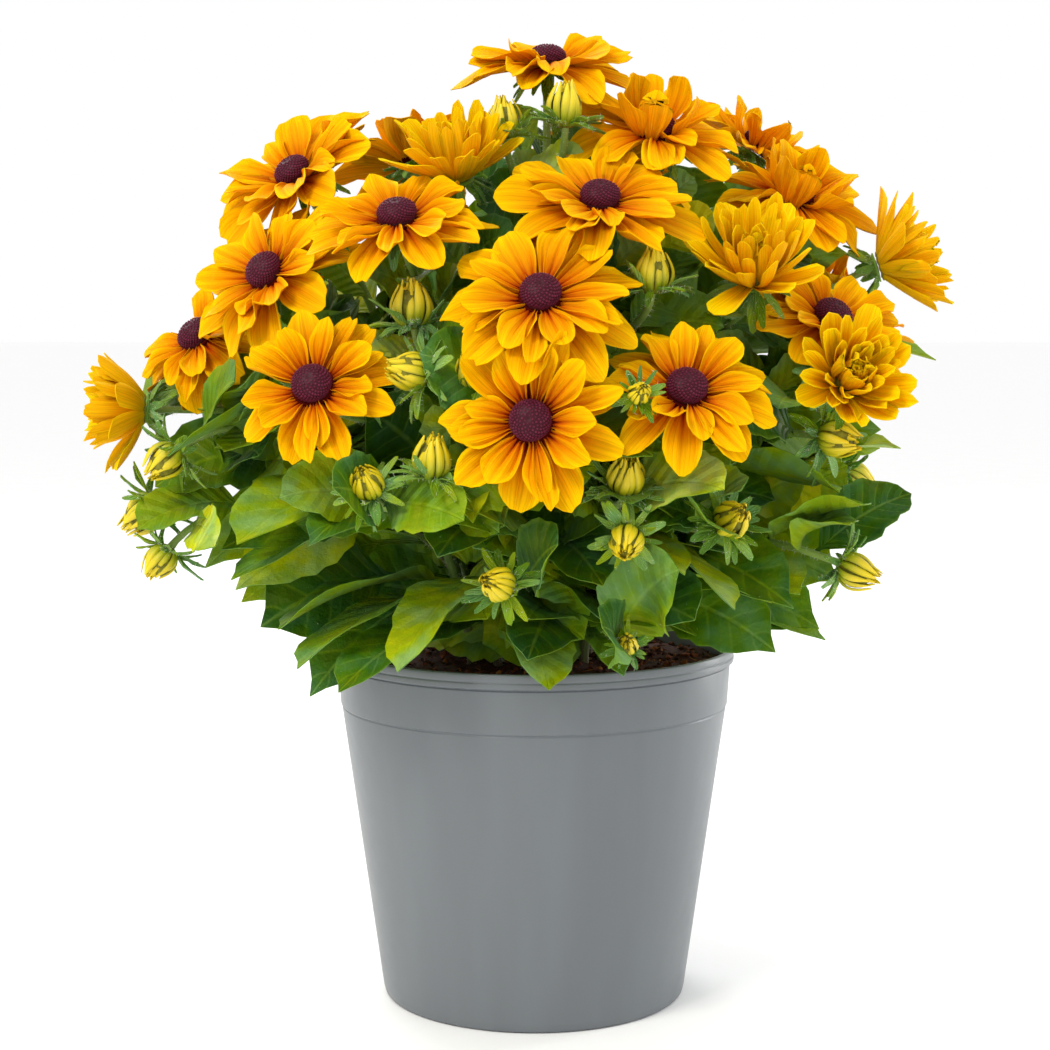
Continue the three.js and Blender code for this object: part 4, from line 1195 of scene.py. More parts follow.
@dataclass(frozen=True)
class PetalForm:
    """How a ray petal is shaped: how it widens, its pleats, its notched tip and its wavy edge."""

    root: float
    shoulder: float
    pleat: float
    notch: float
    wave: float
    twist: float
    curl: float
    taper: Span
    sunk: float = 0.05
    notch_width: float = 0.2

    def surface(self, blade: Blade, dice: Dice) -> Surface:
        """Returns the surface of one petal.

        Args:
            blade: The petal's midline and size.
            dice: The draws that make it a little unlike the others.
        """
        pleat = self.pleat * dice.draw(0.7, 1.4)
        notch = self.notch * dice.draw(-0.4, 1.8)
        notch_place = dice.draw(-0.35, 0.35)
        taper, bluntness, roundness = dice.draw(*self.taper), dice.draw(1.5, 2.6), dice.draw(0.45, 1.0)
        wave = self.wave * dice.draw(0.4, 1.6)
        phase = dice.draw(0, TURN)
        lean = dice.draw(-0.08, 0.08)
        twist = math.radians(self.twist) * dice.draw(-1, 1)
        curl = self.curl * dice.draw(-1, 0.7)
        half = blade.width / 2

        def point(across: float, along: float) -> Vector:
            edge = abs(across)
            nick = notch * math.exp(-(((across - notch_place) / self.notch_width) ** 2))
            tip = lerp(edge**bluntness, 1 - math.sqrt(max(0.0, 1 - edge * edge)), roundness)
            reach = 1 - taper * tip - nick + lean * across
            share = -self.sunk + (1 + self.sunk) * along * reach
            inner = max(0.0, share)
            spread = self.root + (1 - self.root) * math.sin(math.pi / 2 * min(1.0, inner / self.shoulder))
            past = max(0.0, (inner - self.shoulder) / (1 - self.shoulder))
            width = half * spread * (1 - 0.3 * past * past)
            middle, side, normal = blade.frame(share)
            turned = twist * inner * inner
            side, normal = (
                side * math.cos(turned) + normal * math.sin(turned),
                normal * math.cos(turned) - side * math.sin(turned),
            )
            fold = pleat * math.cos(PLEATS * math.pi * across)
            fold *= math.sin(math.pi * min(1.0, 0.12 + inner)) ** 0.7
            ripple = wave * math.sin(phase + 6.5 * inner + 2 * across) * across * edge * inner
            cupped = width * blade.cup * edge**1.8
            return middle + side * (across * width) + normal * (cupped - fold + ripple + curl * inner**3)

        return point


@dataclass(frozen=True)
class LeafForm:
    """How a leaf is shaped: its stalk, where it is widest, its teeth, its quilting and its wavy edge."""

    stalk: float
    skew: float
    fullness: float
    teeth: int
    tooth: float
    quilt: float
    wave: float
    point: float = 0.06
    narrow: float = 0.07
    broad: float = 1.0

    def surface(self, blade: Blade, dice: Dice) -> Surface:
        """Returns the surface of one leaf.

        Args:
            blade: The leaf's midline and size.
            dice: The draws that make it a little unlike the others.
        """
        wave = self.wave * dice.draw(0.5, 1.4)
        phases = (dice.draw(0, TURN), dice.draw(0, TURN))
        curve = dice.draw(-0.05, 0.05) * blade.width
        half = blade.width * self.broad / 2

        def point(across: float, along: float) -> Vector:
            edge = abs(across)
            share = along * (1 - self.point * edge)
            past_stalk = max(0.0, (share - self.stalk) / (1 - self.stalk))
            swell = max(0.0, math.sin(math.pi * past_stalk**self.skew))
            width = half * (self.narrow + (1 - self.narrow) * swell**self.fullness)
            tooth = along * self.teeth % 1.0 * 1.5 - 0.5
            toothed = 1 + self.tooth * tooth * fade(0.6, 1.0, edge) * fade(0.1, 0.4, swell)
            middle, side, normal = blade.frame(share)
            phase = phases[0 if across < 0 else 1]
            ripple = wave * math.sin(phase + 8.5 * share) * edge**1.6 * swell
            raised = math.cos(TURN * (self.teeth * along - VEIN_SLANT * edge)) * edge * (1 - edge)
            fold = width * blade.cup * 1.25 * edge**1.2
            bent = curve * math.sin(math.pi * share)
            height = fold + ripple - self.quilt * raised * swell
            return middle + side * (across * width * toothed + bent) + normal * height

        return point


RAY_FORM = PetalForm(
    root=0.34, shoulder=0.64, pleat=0.85, notch=0.06, wave=3.0, twist=38, curl=4.0, taper=(0.24, 0.46)
)
QUILL_FORM = PetalForm(
    root=0.5, shoulder=0.8, pleat=0.2, notch=0.03, wave=0.8, twist=18, curl=1.2, taper=(0.12, 0.26)
)
STEM_LEAF_FORM = LeafForm(
    stalk=0.1, skew=0.96, fullness=0.58, teeth=5, tooth=0.11, quilt=0.9, wave=3.0, point=0.07, broad=1.14
)
LARGE_LEAF_FORM = LeafForm(
    stalk=0.16, skew=0.98, fullness=0.58, teeth=5, tooth=0.11, quilt=1.0, wave=2.8, point=0.07, broad=1.12
)
STALKED_LEAF_FORM = LeafForm(
    stalk=0.4, skew=0.86, fullness=0.62, teeth=7, tooth=0.12, quilt=0.9, wave=2.6, point=0.12, broad=1.16
)
BRACT_FORM = LeafForm(stalk=0.0, skew=0.7, fullness=0.8, teeth=0, tooth=0, quilt=0, wave=0.5, narrow=0.3)


@dataclass(frozen=True)
class LeafSpot:
    """How a leaf arches from a point on a stem.

    Its turn from the front and the rise from its base to its tip are in radians, and so is its roll about
    its own midline. The arch lifts the midline, by a share of the length. The show tips its face to the
    front, or to the back where it stands behind.
    """

    base: Vector
    turn: float
    rise: float
    length: float
    width: float
    arch: float
    roll: float
    show: float = 0.0
    form: LeafForm = STEM_LEAF_FORM

    def blade(self, swing: float = 0.0, more: float = 0.0, scale: float = 1.0) -> Blade:
        """Lays out the midline, with the swing and the rise, in degrees, and the scale of a try."""
        turn, rise = self.turn + math.radians(swing), self.rise + math.radians(more)
        length = self.length * scale
        flat = Vector((math.sin(turn), -math.cos(turn), 0.0))
        tip = self.base + flat * (length * math.cos(rise)) + UP * (length * math.sin(rise))
        middle = self.base.lerp(tip, 0.5)
        outward = Vector((middle.x, middle.y, 0.0)).normalized()
        bend = middle + UP * (length * self.arch)
        facing = self.show * fade(-30, 50, middle.y) * 2 - self.show
        up = UP + outward * (LEAF_LEAN - 0.4 * self.show) + Vector((0.0, facing, 0.0))
        return Blade(self.base, bend, tip, up, self.width * scale, LEAF_CUP, self.roll)


# The lift that each try adds to a petal, and the scale of its length
PETAL_TRIES = (
    (0, 1), (7, 1), (-7, 1), (14, 1), (-14, 1), (0, 0.94), (10, 0.94), (-10, 0.94), (20, 0.94),
    (-20, 0.94), (0, 0.8), (28, 0.9), (-28, 0.85),
)
# The swing and the rise that each try adds to a leaf, and its scale
LEAF_TRIES = (
    (0, 0, 1), (0, 10, 1), (10, 0, 1), (-10, 0, 1), (0, -10, 1), (16, 10, 1), (-16, 10, 1), (0, 20, 1),
    (24, 0, 0.9), (-24, 0, 0.9), (16, -14, 0.9), (-16, -14, 0.9), (34, 16, 0.85), (-34, 16, 0.85),
    (0, 34, 0.8), (46, 6, 0.75), (-46, 6, 0.75),
)


class SolidCorners:
    """Finds which try at a blade its plain solid took, from the solid's own corners."""

    NEAR = 0.05

    def __init__(self, frame: dict, node: str) -> None:
        """Sorts the corners of a plain solid.

        Args:
            frame: The loaded frame.
            node: The solid's node.
        """
        vertices = frame["nodes"][node].data.vertices
        self.tree = KDTree(len(vertices))
        for index, vertex in enumerate(vertices):
            self.tree.insert(vertex.co / MM, index)
        self.tree.balance()

    def taken(self, tries: Iterable[Blade], place: Matrix) -> list[Blade]:
        """Returns the first try whose tip is a corner of the solid, or none where it has none of them."""
        return [blade for blade in tries if self.tree.find(place @ blade.tip)[2] < self.NEAR][:1]


@dataclass(frozen=True)
class Spread:
    """How unlike each other the blades of a turn are, as the ends of each draw.

    The draws of lift and bow, in degrees, add to the turn's own values, and those of length and width
    scale them. The drift, as a share of the step between blades, and the roll, in degrees, go both ways.
    A cup that is one number is the same for every blade.
    """

    drift: float
    lift: Span
    bow: Span
    length: Span
    width: Span
    cup: float | Span
    roll: float


@dataclass(frozen=True)
class BladeTurn:
    """One turn of petals or bracts round an axis.

    The first stands a skew of a step round it. They leave at a start from the axis and a height along it,
    with a lift and a bow in degrees. A turn of a plain solid has a petal at the kept places only, or at
    all of them where none is named.
    """

    count: int
    skew: float
    start: float
    height: float
    lift: float
    length: float
    width: float
    spread: Spread
    bow: float = 0.0
    kept: tuple[int, ...] = ()

    def rays(self, dice: Dice, places: Iterable[int] = ()) -> list[Ray]:
        """Lays out the blades.

        Args:
            dice: The draws that make them a little unlike each other.
            places: The places that have a blade, or none of them for all.

        Returns:
            The blades, in turn.
        """
        spread = self.spread
        rays = []
        for place in places or range(self.count):
            angle = (place + self.skew + dice.draw(-spread.drift, spread.drift)) / self.count * TURN
            lift, bow = self.lift + dice.draw(*spread.lift), self.bow + dice.draw(*spread.bow)
            length, width = self.length * dice.draw(*spread.length), self.width * dice.draw(*spread.width)
            cup = dice.draw(*spread.cup) if isinstance(spread.cup, tuple) else spread.cup
            roll = math.radians(dice.draw(-spread.roll, spread.roll))
            rays.append(Ray(angle, self.start, self.height, lift, bow, length, width, cup, roll))
        return rays

    def found(self, dice: Dice, corners: SolidCorners, place: Matrix) -> list[Blade]:
        """Lays out the petals of this turn that the plain solid has.

        Args:
            dice: The head's draws.
            corners: The corners of the head's plain solid.
            place: Where the head stands.

        Returns:
            Their blades, in turn.
        """
        rays = self.rays(dice)
        blades = []
        for index in self.kept or range(self.count):
            blades += corners.taken((rays[index].blade(*change) for change in PETAL_TRIES), place)
        return blades


def solid_spread(loose: float, cup: float) -> Spread:
    """Returns how unlike each other the petals of a plain solid are, loose in lift and bow."""
    return Spread(0.12, (-loose, loose), (-loose, loose), (0.9, 1.04), (0.88, 1.06), cup, 9)


# Petals between those of the plain solid, in the inner and in the outer layer, and the quills
INNER_SPREAD = Spread(0.2, (-5, 8), (-16, 10), (0.42, 0.62), (0.24, 0.34), (0.2, 0.42), 18)
OUTER_SPREAD = Spread(0.4, (4, 14), (-24, 4), (0.6, 0.78), (0.22, 0.32), (0.16, 0.5), 30)
QUILL_SPREAD = Spread(0.2, (-8, 8), (4, 46), (0.82, 1.08), (0.85, 1.1), (0.45, 0.85), 25)
CUP_SPREAD = Spread(0.3, (-52, -8), (-26, 10), (11, 18), (3.0, 4.8), 0.3, 16)
BUD_SPREAD = Spread(0.3, (-30, 48), (-34, 14), (10.5, 17), (2.5, 4.0), 0.3, 16)


@dataclass
class Flower:
    """A flower: petals in turns round its middle. Each kind has its own turns, form and seeds."""

    name: str
    head: Head
    index: int
    sheet: Sheet
    frame: dict

    FORM: ClassVar[PetalForm]
    THICKNESS: ClassVar[float]
    SEED: ClassVar[Seed]
    CREST_SEED: ClassVar[Seed]

    def solid_turns(self) -> list[BladeTurn]:
        """Returns the turns that the plain solid has."""
        raise NotImplementedError

    def crest(self, dice: Dice) -> list[Ray]:
        """Lays out the petals between those of the plain solid, from the flower's own draws."""
        raise NotImplementedError

    def pour_petals(self, casting: Casting, node: str) -> None:
        """Bends every petal, and adds it to a piece.

        Args:
            casting: The piece.
            node: The plain solid of the petals.
        """
        place = self.head.place
        corners = SolidCorners(self.frame, node)
        dice, spare = self.SEED.dice(self.index), self.CREST_SEED.dice(self.index)
        blades = [blade for turn in self.solid_turns() for blade in turn.found(dice, corners, place)]
        LOG.info("%s: %d petals in the solid", node, len(blades))
        blades += [ray.blade() for ray in self.crest(spare)]
        for blade in blades:
            surface = self.FORM.surface(blade, spare)
            casting.pour(self.sheet.bend(surface, self.THICKNESS, spare.draw(0.05, 1)), place=place)


@dataclass
class OpenFlower(Flower):
    """An open flower: its ray petals in layers, and its domed disc of florets."""

    florets: int = 270
    disc_edge: float = 108.0
    dimple: float = 1.3

    FORM = RAY_FORM
    THICKNESS = 0.45
    SEED = Seed.OPEN
    CREST_SEED = Seed.CREST

    def solid_turns(self) -> list[BladeTurn]:
        """Returns the outer and the inner turn of the plain solid."""
        reach, lift, inner = self.head.reach, self.head.lift, self.head.inner
        start, bow = HUB_RADIUS * math.cos(math.pi / PETAL_FACES), 40 if inner > STEEP_LIFT else -8
        return [
            BladeTurn(
                PETAL_FACES, 0.5, start, -HUB_HALF / 2, lift, reach - HUB_RADIUS + 1, reach * 0.42,
                solid_spread(6, 0.16), -16,
            ),
            BladeTurn(
                PETAL_FACES, 1, start, HUB_HALF / 2, inner, reach * 0.58, reach * 0.36,
                solid_spread(7, 0.22), bow, INNER_FACES,
            ),
        ]

    def crest(self, dice: Dice) -> list[Ray]:
        """Lays out the shorter petals between the inner ones, and four loose ones in the outer layer."""
        reach, lift = self.head.reach, self.head.lift
        start, between = HUB_RADIUS - 1, lerp(lift, self.head.inner, 0.6)
        inner = BladeTurn(PETAL_FACES, 1, start, HUB_HALF / 2 + 0.5, between, reach, reach, INNER_SPREAD)
        outer = BladeTurn(4, 0, start, 0.2, lift, reach, reach, OUTER_SPREAD)
        return inner.rays(dice, SPARE_FACES) + outer.rays(dice)

    def build(self) -> None:
        """Builds the ray petals on their hub, and the disc on them."""
        node = f"{self.name}_petals"
        casting = Casting(f"{self.name}_ray_petals", Look.RAY)
        self.pour_petals(casting, node)
        rim = HUB_RADIUS - 1
        profile = [(0, -HUB_HALF), (rim, -HUB_HALF, 0.6), (rim, HUB_HALF, 0.6), (0, HUB_HALF)]
        casting.pour(tinted(turned_shape(profile, 24), (0.0, 0.03, 0.5)), place=self.head.place)
        casting.finish("petal", node)
        self.build_disc()

    def build_disc(self) -> None:
        """Builds the dome and its florets, which follow the golden angle to a dimple in the middle."""
        dice = Seed.FLORET.dice(self.index)
        place = self.head.place @ Matrix.Rotation(dice.draw(0, TURN), 4, "Z")
        casting = Casting(f"{self.name}_disc_florets", Look.FLORET)
        foot = HUB_HALF + JOINT_GAP
        belly = foot + 0.3 * DISC_HEIGHT
        rise = DISC_HEIGHT - 0.3 * DISC_HEIGHT - 0.5
        radius = DISC_RADIUS - 1.0
        slopes = [math.radians(lerp(-20, 84, step / 8)) for step in range(9)]
        dome = [(radius * math.cos(slope), belly + rise * math.sin(slope)) for slope in slopes]
        profile = [(0.0, foot), (radius, foot), *dome, (0.0, belly + rise - 0.9)]
        casting.pour(tinted(turned_shape(profile, 28), (0.0, 0.2, 0.1)), place=place)
        beads = floret_beads()
        for index in range(self.florets):
            share = (index + 0.5) / self.florets
            colatitude = math.radians(self.disc_edge) * math.sqrt(share) ** 1.05
            flat = level(index * GOLDEN_TURN)
            normal = (flat * math.sin(colatitude) + UP * math.cos(colatitude) * 1.2).normalized()
            sunk = -self.dimple * (1 - fade(0.0, 0.28, colatitude))
            point = (
                flat * ((DISC_RADIUS - 1.1) * math.sin(colatitude))
                + UP * (belly + rise * math.cos(colatitude) + sunk)
            )
            size = lerp(0.5, 0.78, share) * dice.draw(0.9, 1.1)
            # The inner half of the disc takes the paler beads and the outer half the darker ones: painted
            # shade where the dome turns down to its rim
            bead = beads[index % 3 + (2 if share < 0.5 else 0)]
            casting.stamp(bead, place @ pointing(point, normal, (size, size, size * 1.15)))
        casting.finish("disc", f"{self.name}_disc", crease=80)


def floret_beads() -> list[bpy.types.Mesh]:
    """Returns the round-tipped beads of five tones that the florets copy, made once."""
    names = [f"floret_bead_{index}" for index in range(5)]
    if names[0] not in bpy.data.meshes:
        for index, name in enumerate(names):
            bead = new_part()
            bmesh.ops.create_icosphere(bead, subdivisions=1, radius=1.0)
            layer = bead.verts.layers.float_vector[BLADE_PLACE]
            for vert in bead.verts:
                vert[layer] = (0.0, 0.22 + 0.3 * vert.co.z, index / 5)
            for face in bead.faces:
                face.smooth = True
            as_mesh(bead, name)
    return [bpy.data.meshes[name] for name in names]


@dataclass
class HalfOpenFlower(Flower):
    """A half-open, fuller flower: quilled petals in turns that cup round its heart."""

    FORM = QUILL_FORM
    THICKNESS = 0.5
    SEED = Seed.HALF
    CREST_SEED = Seed.HALF_CREST

    def solid_turns(self) -> list[BladeTurn]:
        """Returns the three turns of the plain solid."""
        reach, flat = self.head.reach, math.cos(math.pi / HALF_FACES)
        outer, middle, inner = solid_spread(12, 0.32), solid_spread(9, 0.3), solid_spread(6, 0.3)
        return [
            BladeTurn(HALF_FACES, 0.5, 7 * flat, -0.3, 26, reach - 4, 12, outer, 18),
            BladeTurn(HALF_FACES, 1, 6.7 * flat, 1.5, 52, 0.8 * reach, 10, middle, 20, (0, 2, 4, 6)),
            BladeTurn(HALF_FACES, 0.5, 5.8 * flat, 3.7, 70, 0.6 * reach, 8, inner, 28, (1, 3, 5, 7)),
        ]

    def crest(self, dice: Dice) -> list[Ray]:
        """Lays out the quills that fill the turns between those of the plain solid."""
        reach = self.head.reach
        turns = (
            BladeTurn(11, 0.0, 6.6, 0.2, 40, reach * 0.9, 7.0, QUILL_SPREAD),
            BladeTurn(10, 0.5, 6.0, 1.4, 60, reach * 0.8, 6.4, QUILL_SPREAD),
            BladeTurn(8, 0.2, 4.4, 3.0, 78, reach * 0.6, 6.0, QUILL_SPREAD),
            BladeTurn(6, 0.4, 2.6, 4.0, 88, reach * 0.46, 5.2, QUILL_SPREAD),
        )
        return [ray for turn in turns for ray in turn.rays(dice)]

    def build(self) -> None:
        """Builds the quilled petals round their core."""
        casting = Casting(f"{self.name}_quilled_petals", Look.QUILL, Look.HEART)
        self.pour_petals(casting, self.name)
        profile = [(0, -HUB_HALF), (7, -HUB_HALF, 0.8), (6.6, 1.5, 0.8), (4.6, 5, 1.5), (0, 8.5)]
        casting.pour(turned_shape(profile, 20), 1, self.head.place)
        casting.finish("quill", self.name)


@dataclass(frozen=True)
class StemCurve:
    """One smooth curve from a start to the neck of a head."""

    points: tuple[Vector, Vector, Vector, Vector]

    @classmethod
    def to_head(cls, start: Vector, leaving: Vector, name: str) -> StemCurve:
        """Lays out the curve to a head.

        Args:
            start: Where the stem starts.
            leaving: The direction that it starts in.
            name: The head's name.

        Returns:
            The curve.
        """
        head = ALL_HEADS[name]
        depth = HUB_HALF + JOINT_GAP + CUP_DEPTH - STEM_OVERLAP
        if name in BUD_HEADS:
            depth = BUD_NECK * head.size
        end = head.centre - head.axis * depth
        span = (end - start).length
        return cls((start, start + leaving * STEM_PULL * span, end - head.axis * HEAD_PULL * span, end))

    def at(self, share: float) -> Vector:
        """Returns the point at a share of the curve."""
        a, b, c, d = self.points
        rest = 1 - share
        return a * rest**3 + b * (3 * rest * rest * share) + c * (3 * rest * share * share) + d * share**3

    def tangent(self, share: float) -> Vector:
        """Returns the direction at a share of the curve."""
        a, b, c, d = self.points
        rest = 1 - share
        return ((b - a) * rest**2 + (c - b) * (2 * rest * share) + (d - c) * share**2).normalized()


@dataclass
class Shoot:
    """A leafy shoot: stems, leaves, the green cups and bracts under its flowers, and its closed buds.

    Its dice hold the draws that its plain solid has too, and its spare draws are for what only it has.
    """

    name: str
    plan: ShootPlan
    index: int
    leaf_sheet: Sheet
    bract_sheet: Sheet
    strap_sheet: Sheet
    frame: dict
    fillers: int = 24
    main: StemCurve = field(init=False)
    growth: Casting = field(init=False)
    buds: Casting = field(init=False)
    fuzz: Fuzz = field(init=False)
    dice: Dice = field(init=False)
    spare: Dice = field(init=False)

    STEM, LEAF, BRACT = range(3)
    STRAP, HEART = range(2)

    def __post_init__(self) -> None:
        """Lays out the main stem and starts the shoot's pieces."""
        foot = self.plan.foot
        lean = Vector((foot.x, foot.y, 0)).normalized() * FOOT_LEAN + UP
        self.main = StemCurve.to_head(foot + UP * 4, lean.normalized(), self.plan.leader)
        self.growth = Casting(f"{self.name}_growth", Look.STEM, Look.LEAF, Look.BRACT)
        self.buds = Casting(f"{self.name}_bud_petals", Look.STRAP, Look.HEART)
        rng = random.Random(Seed.FUZZ.value + self.index)
        self.fuzz = Fuzz(Casting(f"{self.name}_hairs", Look.HAIR), rng)
        self.dice = Seed.BRACT.dice(self.index)
        self.spare = Seed.STRAP.dice(self.index)

    def build(self) -> None:
        """Builds the green growth, the hairs, and the bud petals where the shoot has buds."""
        self.grow_stems()
        for name in self.plan.heads:
            if name in BUD_HEADS:
                self.grow_bud(BUD_HEADS[name])
            else:
                self.grow_cup(ALL_HEADS[name])
        self.grow_leaves()
        self.growth.finish("leaf", self.name)
        self.fuzz.casting.finish("leaf")
        if BUD_HEADS.keys() & self.plan.heads:
            self.buds.finish("quill", self.name)

    def branch(self, name: str) -> StemCurve:
        """Returns the curve of the branch to a head."""
        along = self.plan.branches[name]
        return StemCurve.to_head(self.main.at(along), self.main.tangent(along), name)

    def main_path(self, share: float) -> Vector:
        """Returns the point at a share of the main stem, which goes straight down into the compost."""
        straight = 1 / STEM_STEPS
        if share < straight:
            return (self.plan.foot - UP * PEG_DEPTH).lerp(self.main.points[0], share / straight)
        return self.main.at((share - straight) / (1 - straight))

    def grow_stems(self) -> None:
        """Draws the main stem and its branches."""
        self.grow_stem(self.main_path, STEM_RADIUS, 1.9, 34)
        for name in self.plan.branches:
            self.grow_stem(self.branch(name).at, BRANCH_RADIUS, 1.6, 24)

    def grow_stem(self, path: Callable[[float], Vector], thick: float, thin: float, steps: int) -> None:
        """Draws a hairy stem, which tapers and swells a little under its head.

        Args:
            path: The point at each share of the stem.
            thick: The radius of its foot.
            thin: The radius of its neck.
            steps: The number of its steps.
        """

        def radius(share: float) -> float:
            return lerp(thick, thin, share) + 0.5 * fade(0.95, 1.0, share)

        stem = tube(path, radius, 10, steps, self.fuzz.rng.random())
        self.growth.pour(self.fuzz.cover(stem, STEM_COAT), self.STEM)

    def grow_bracts(self, head: Head, blades: Iterable[Blade], place: Matrix) -> None:
        """Bends the bracts round the foot of a head.

        Args:
            head: The head that they stand under.
            blades: Their midlines and sizes, in the head's own frame.
            place: Where that frame stands.
        """
        dice = Dice(int(1000 * head.size) + round(head.at[0]) + Seed.BRACT.value)
        for blade in blades:
            part = self.bract_sheet.bend(BRACT_FORM.surface(blade, dice), 0.55, dice.draw(0.1, 1))
            self.growth.pour(self.fuzz.cover(moved(part, place), BRACT_COAT), self.BRACT)

    def solid_bracts(
        self, count: int, start: float, height: float, lift: float, length: float
    ) -> list[Blade]:
        """Lays out the bracts that the plain solid has.

        Args:
            count: How many there are.
            start: How far from the axis they start.
            height: How far along the axis they start.
            lift: Their slope, in degrees.
            length: Their length.

        Returns:
            Their midlines and sizes.
        """
        blades = []
        for index in range(count):
            angle = (2 * index + 0.5) / (2 * count) * TURN
            slope = lift + self.dice.draw(-14, 14)
            reach = length * self.dice.draw(0.85, 1.15)
            blades.append(Ray(angle, start, height, slope + 10, -20, reach, 5.4, 0.25, 0.0).blade())
        return blades

    def grow_cup(self, head: Head) -> None:
        """Grows the green cup and the reflexed bracts under a flower."""
        top = -HUB_HALF - JOINT_GAP
        foot = top - CUP_DEPTH
        cup = turned_shape([(0, foot), (CUP_NECK, foot, 0.8), (CUP_RADIUS, top - 0.6, 1.0), (0, top)], 18)
        self.growth.pour(moved(tinted(cup, (0.4, 0.5, 0.6)), head.place), self.BRACT)
        blades = self.solid_bracts(CUP_BRACTS, 5, top - 3, -36, 17)
        between = BladeTurn(11, 0.5, CUP_RADIUS - 2, top - 1.6, 0, 1, 1, CUP_SPREAD)
        blades += [ray.blade() for ray in between.rays(self.spare)]
        self.grow_bracts(head, blades, head.place)

    def grow_bud(self, head: Head) -> None:
        """Grows a closed bud: incurved straps in three turns round a dark heart, and spreading bracts."""
        spare = self.spare
        place = head.place @ Matrix.Scale(head.size, 4)
        profile = [(0, -8.2), (3.4, -8.2, 1), (6.4, -3, 3), (6.2, 4, 3), (3.2, 6.6, 1.5), (0, 6)]
        self.buds.pour(turned_shape(profile, 14), self.HEART, place)
        for count, scale, top in BUD_TURNS:
            for index in range(count):
                angle = (index + spare.draw(-0.16, 0.16)) / count * TURN
                surface = strap_surface(angle, scale, top * spare.draw(0.74, 1.12), spare)
                part = moved(self.strap_sheet.bend(surface, 0.7, spare.draw(0.05, 1)), place)
                if scale == 1.0:
                    self.fuzz.cover(part, STRAP_COAT)
                self.buds.pour(part, self.STRAP)
        blades = self.solid_bracts(BUD_BRACTS, 4, -7, 4, 16)
        between = BladeTurn(13, 0.2, 4.6, -6.4, 0, 1, 1, BUD_SPREAD)
        blades += [ray.blade() for ray in between.rays(spare)]
        self.grow_bracts(head, blades, place)

    def leaf_to_tip(
        self, large: LargeLeaf, arch: float, roll: float, form: LeafForm, show: float = 0.0
    ) -> LeafSpot:
        """Lays out a leaf from the main stem to a given tip.

        Args:
            large: Where it starts and ends, and its width.
            arch: How far its midline rises above a straight line, as a share of its length.
            roll: Its turn about its own midline, in degrees.
            form: Its form.
            show: How far it tips its face to the front.

        Returns:
            How it stands on the stem.
        """
        base = self.main.at(large.along)
        reach = Vector(large.tip) - base
        turn = math.atan2(reach.x, -reach.y)
        rise = math.atan2(reach.z, math.hypot(reach.x, reach.y))
        return LeafSpot(base, turn, rise, reach.length, large.width, arch, math.radians(roll), show, form)

    def solid_leaves(self) -> list[tuple[Blade, LeafForm]]:
        """Lays out the leaves that the plain solid has.

        Returns:
            Each leaf's midline and size, and its form.
        """
        dice = Seed.LEAF.dice(self.index)
        spots = [
            self.leaf_to_tip(large, dice.draw(0.16, 0.26), dice.draw(-14, 14), LARGE_LEAF_FORM)
            for large in self.plan.large
        ]
        count = FEW_LEAVES if spots else MANY_LEAVES
        for index in range(count):
            share = index / (count - 1)
            side = 1 if index % 2 else -1
            turn = math.radians(self.plan.turn + side * dice.draw(28, 95))
            rise = math.radians(lerp(6, 34, share) + dice.draw(-10, 10))
            length = lerp(88, 52, share) * dice.draw(0.85, 1.1)
            width = lerp(38, 25, share) * dice.draw(0.9, 1.1)
            arch, roll = dice.draw(0.14, 0.26), math.radians(dice.draw(-20, 20))
            base = self.main.at(lerp(0.1, 0.66, share))
            spots.append(LeafSpot(base, turn, rise, length, width, arch, roll))
        corners = SolidCorners(self.frame, self.name)
        leaves = []
        for spot in spots:
            tries = (spot.blade(*change) for change in LEAF_TRIES)
            leaves += [(blade, spot.form) for blade in corners.taken(tries, Matrix.Identity(4))]
        LOG.info("%s: %d of %d leaves in the solid", self.name, len(leaves), len(spots))
        return leaves

    def filler_leaves(self) -> list[tuple[Blade, LeafForm]]:
        """Lays out the leaves that fill the shoot between those of the plain solid.

        They follow the golden angle up the main stem, larger below, and stand in ones and twos on the
        branches. A leaf that would cover a flower or cut the pot's rim is left out. A few large, stalked
        leaves spill over the rim.

        Returns:
            Each leaf's midline and size, and its form.
        """
        dice = Seed.FILLER.dice(self.index)
        spots: list[LeafSpot] = []

        def add(base: Vector, turn: float, rise: float, length: float, arch: Span, show: Span) -> None:
            width = length * dice.draw(0.46, 0.6)
            bent, roll = dice.draw(*arch), math.radians(dice.draw(-24, 24))
            tipped = dice.draw(*show)
            spots.append(LeafSpot(base, turn, math.radians(rise), length, width, bent, roll, tipped))

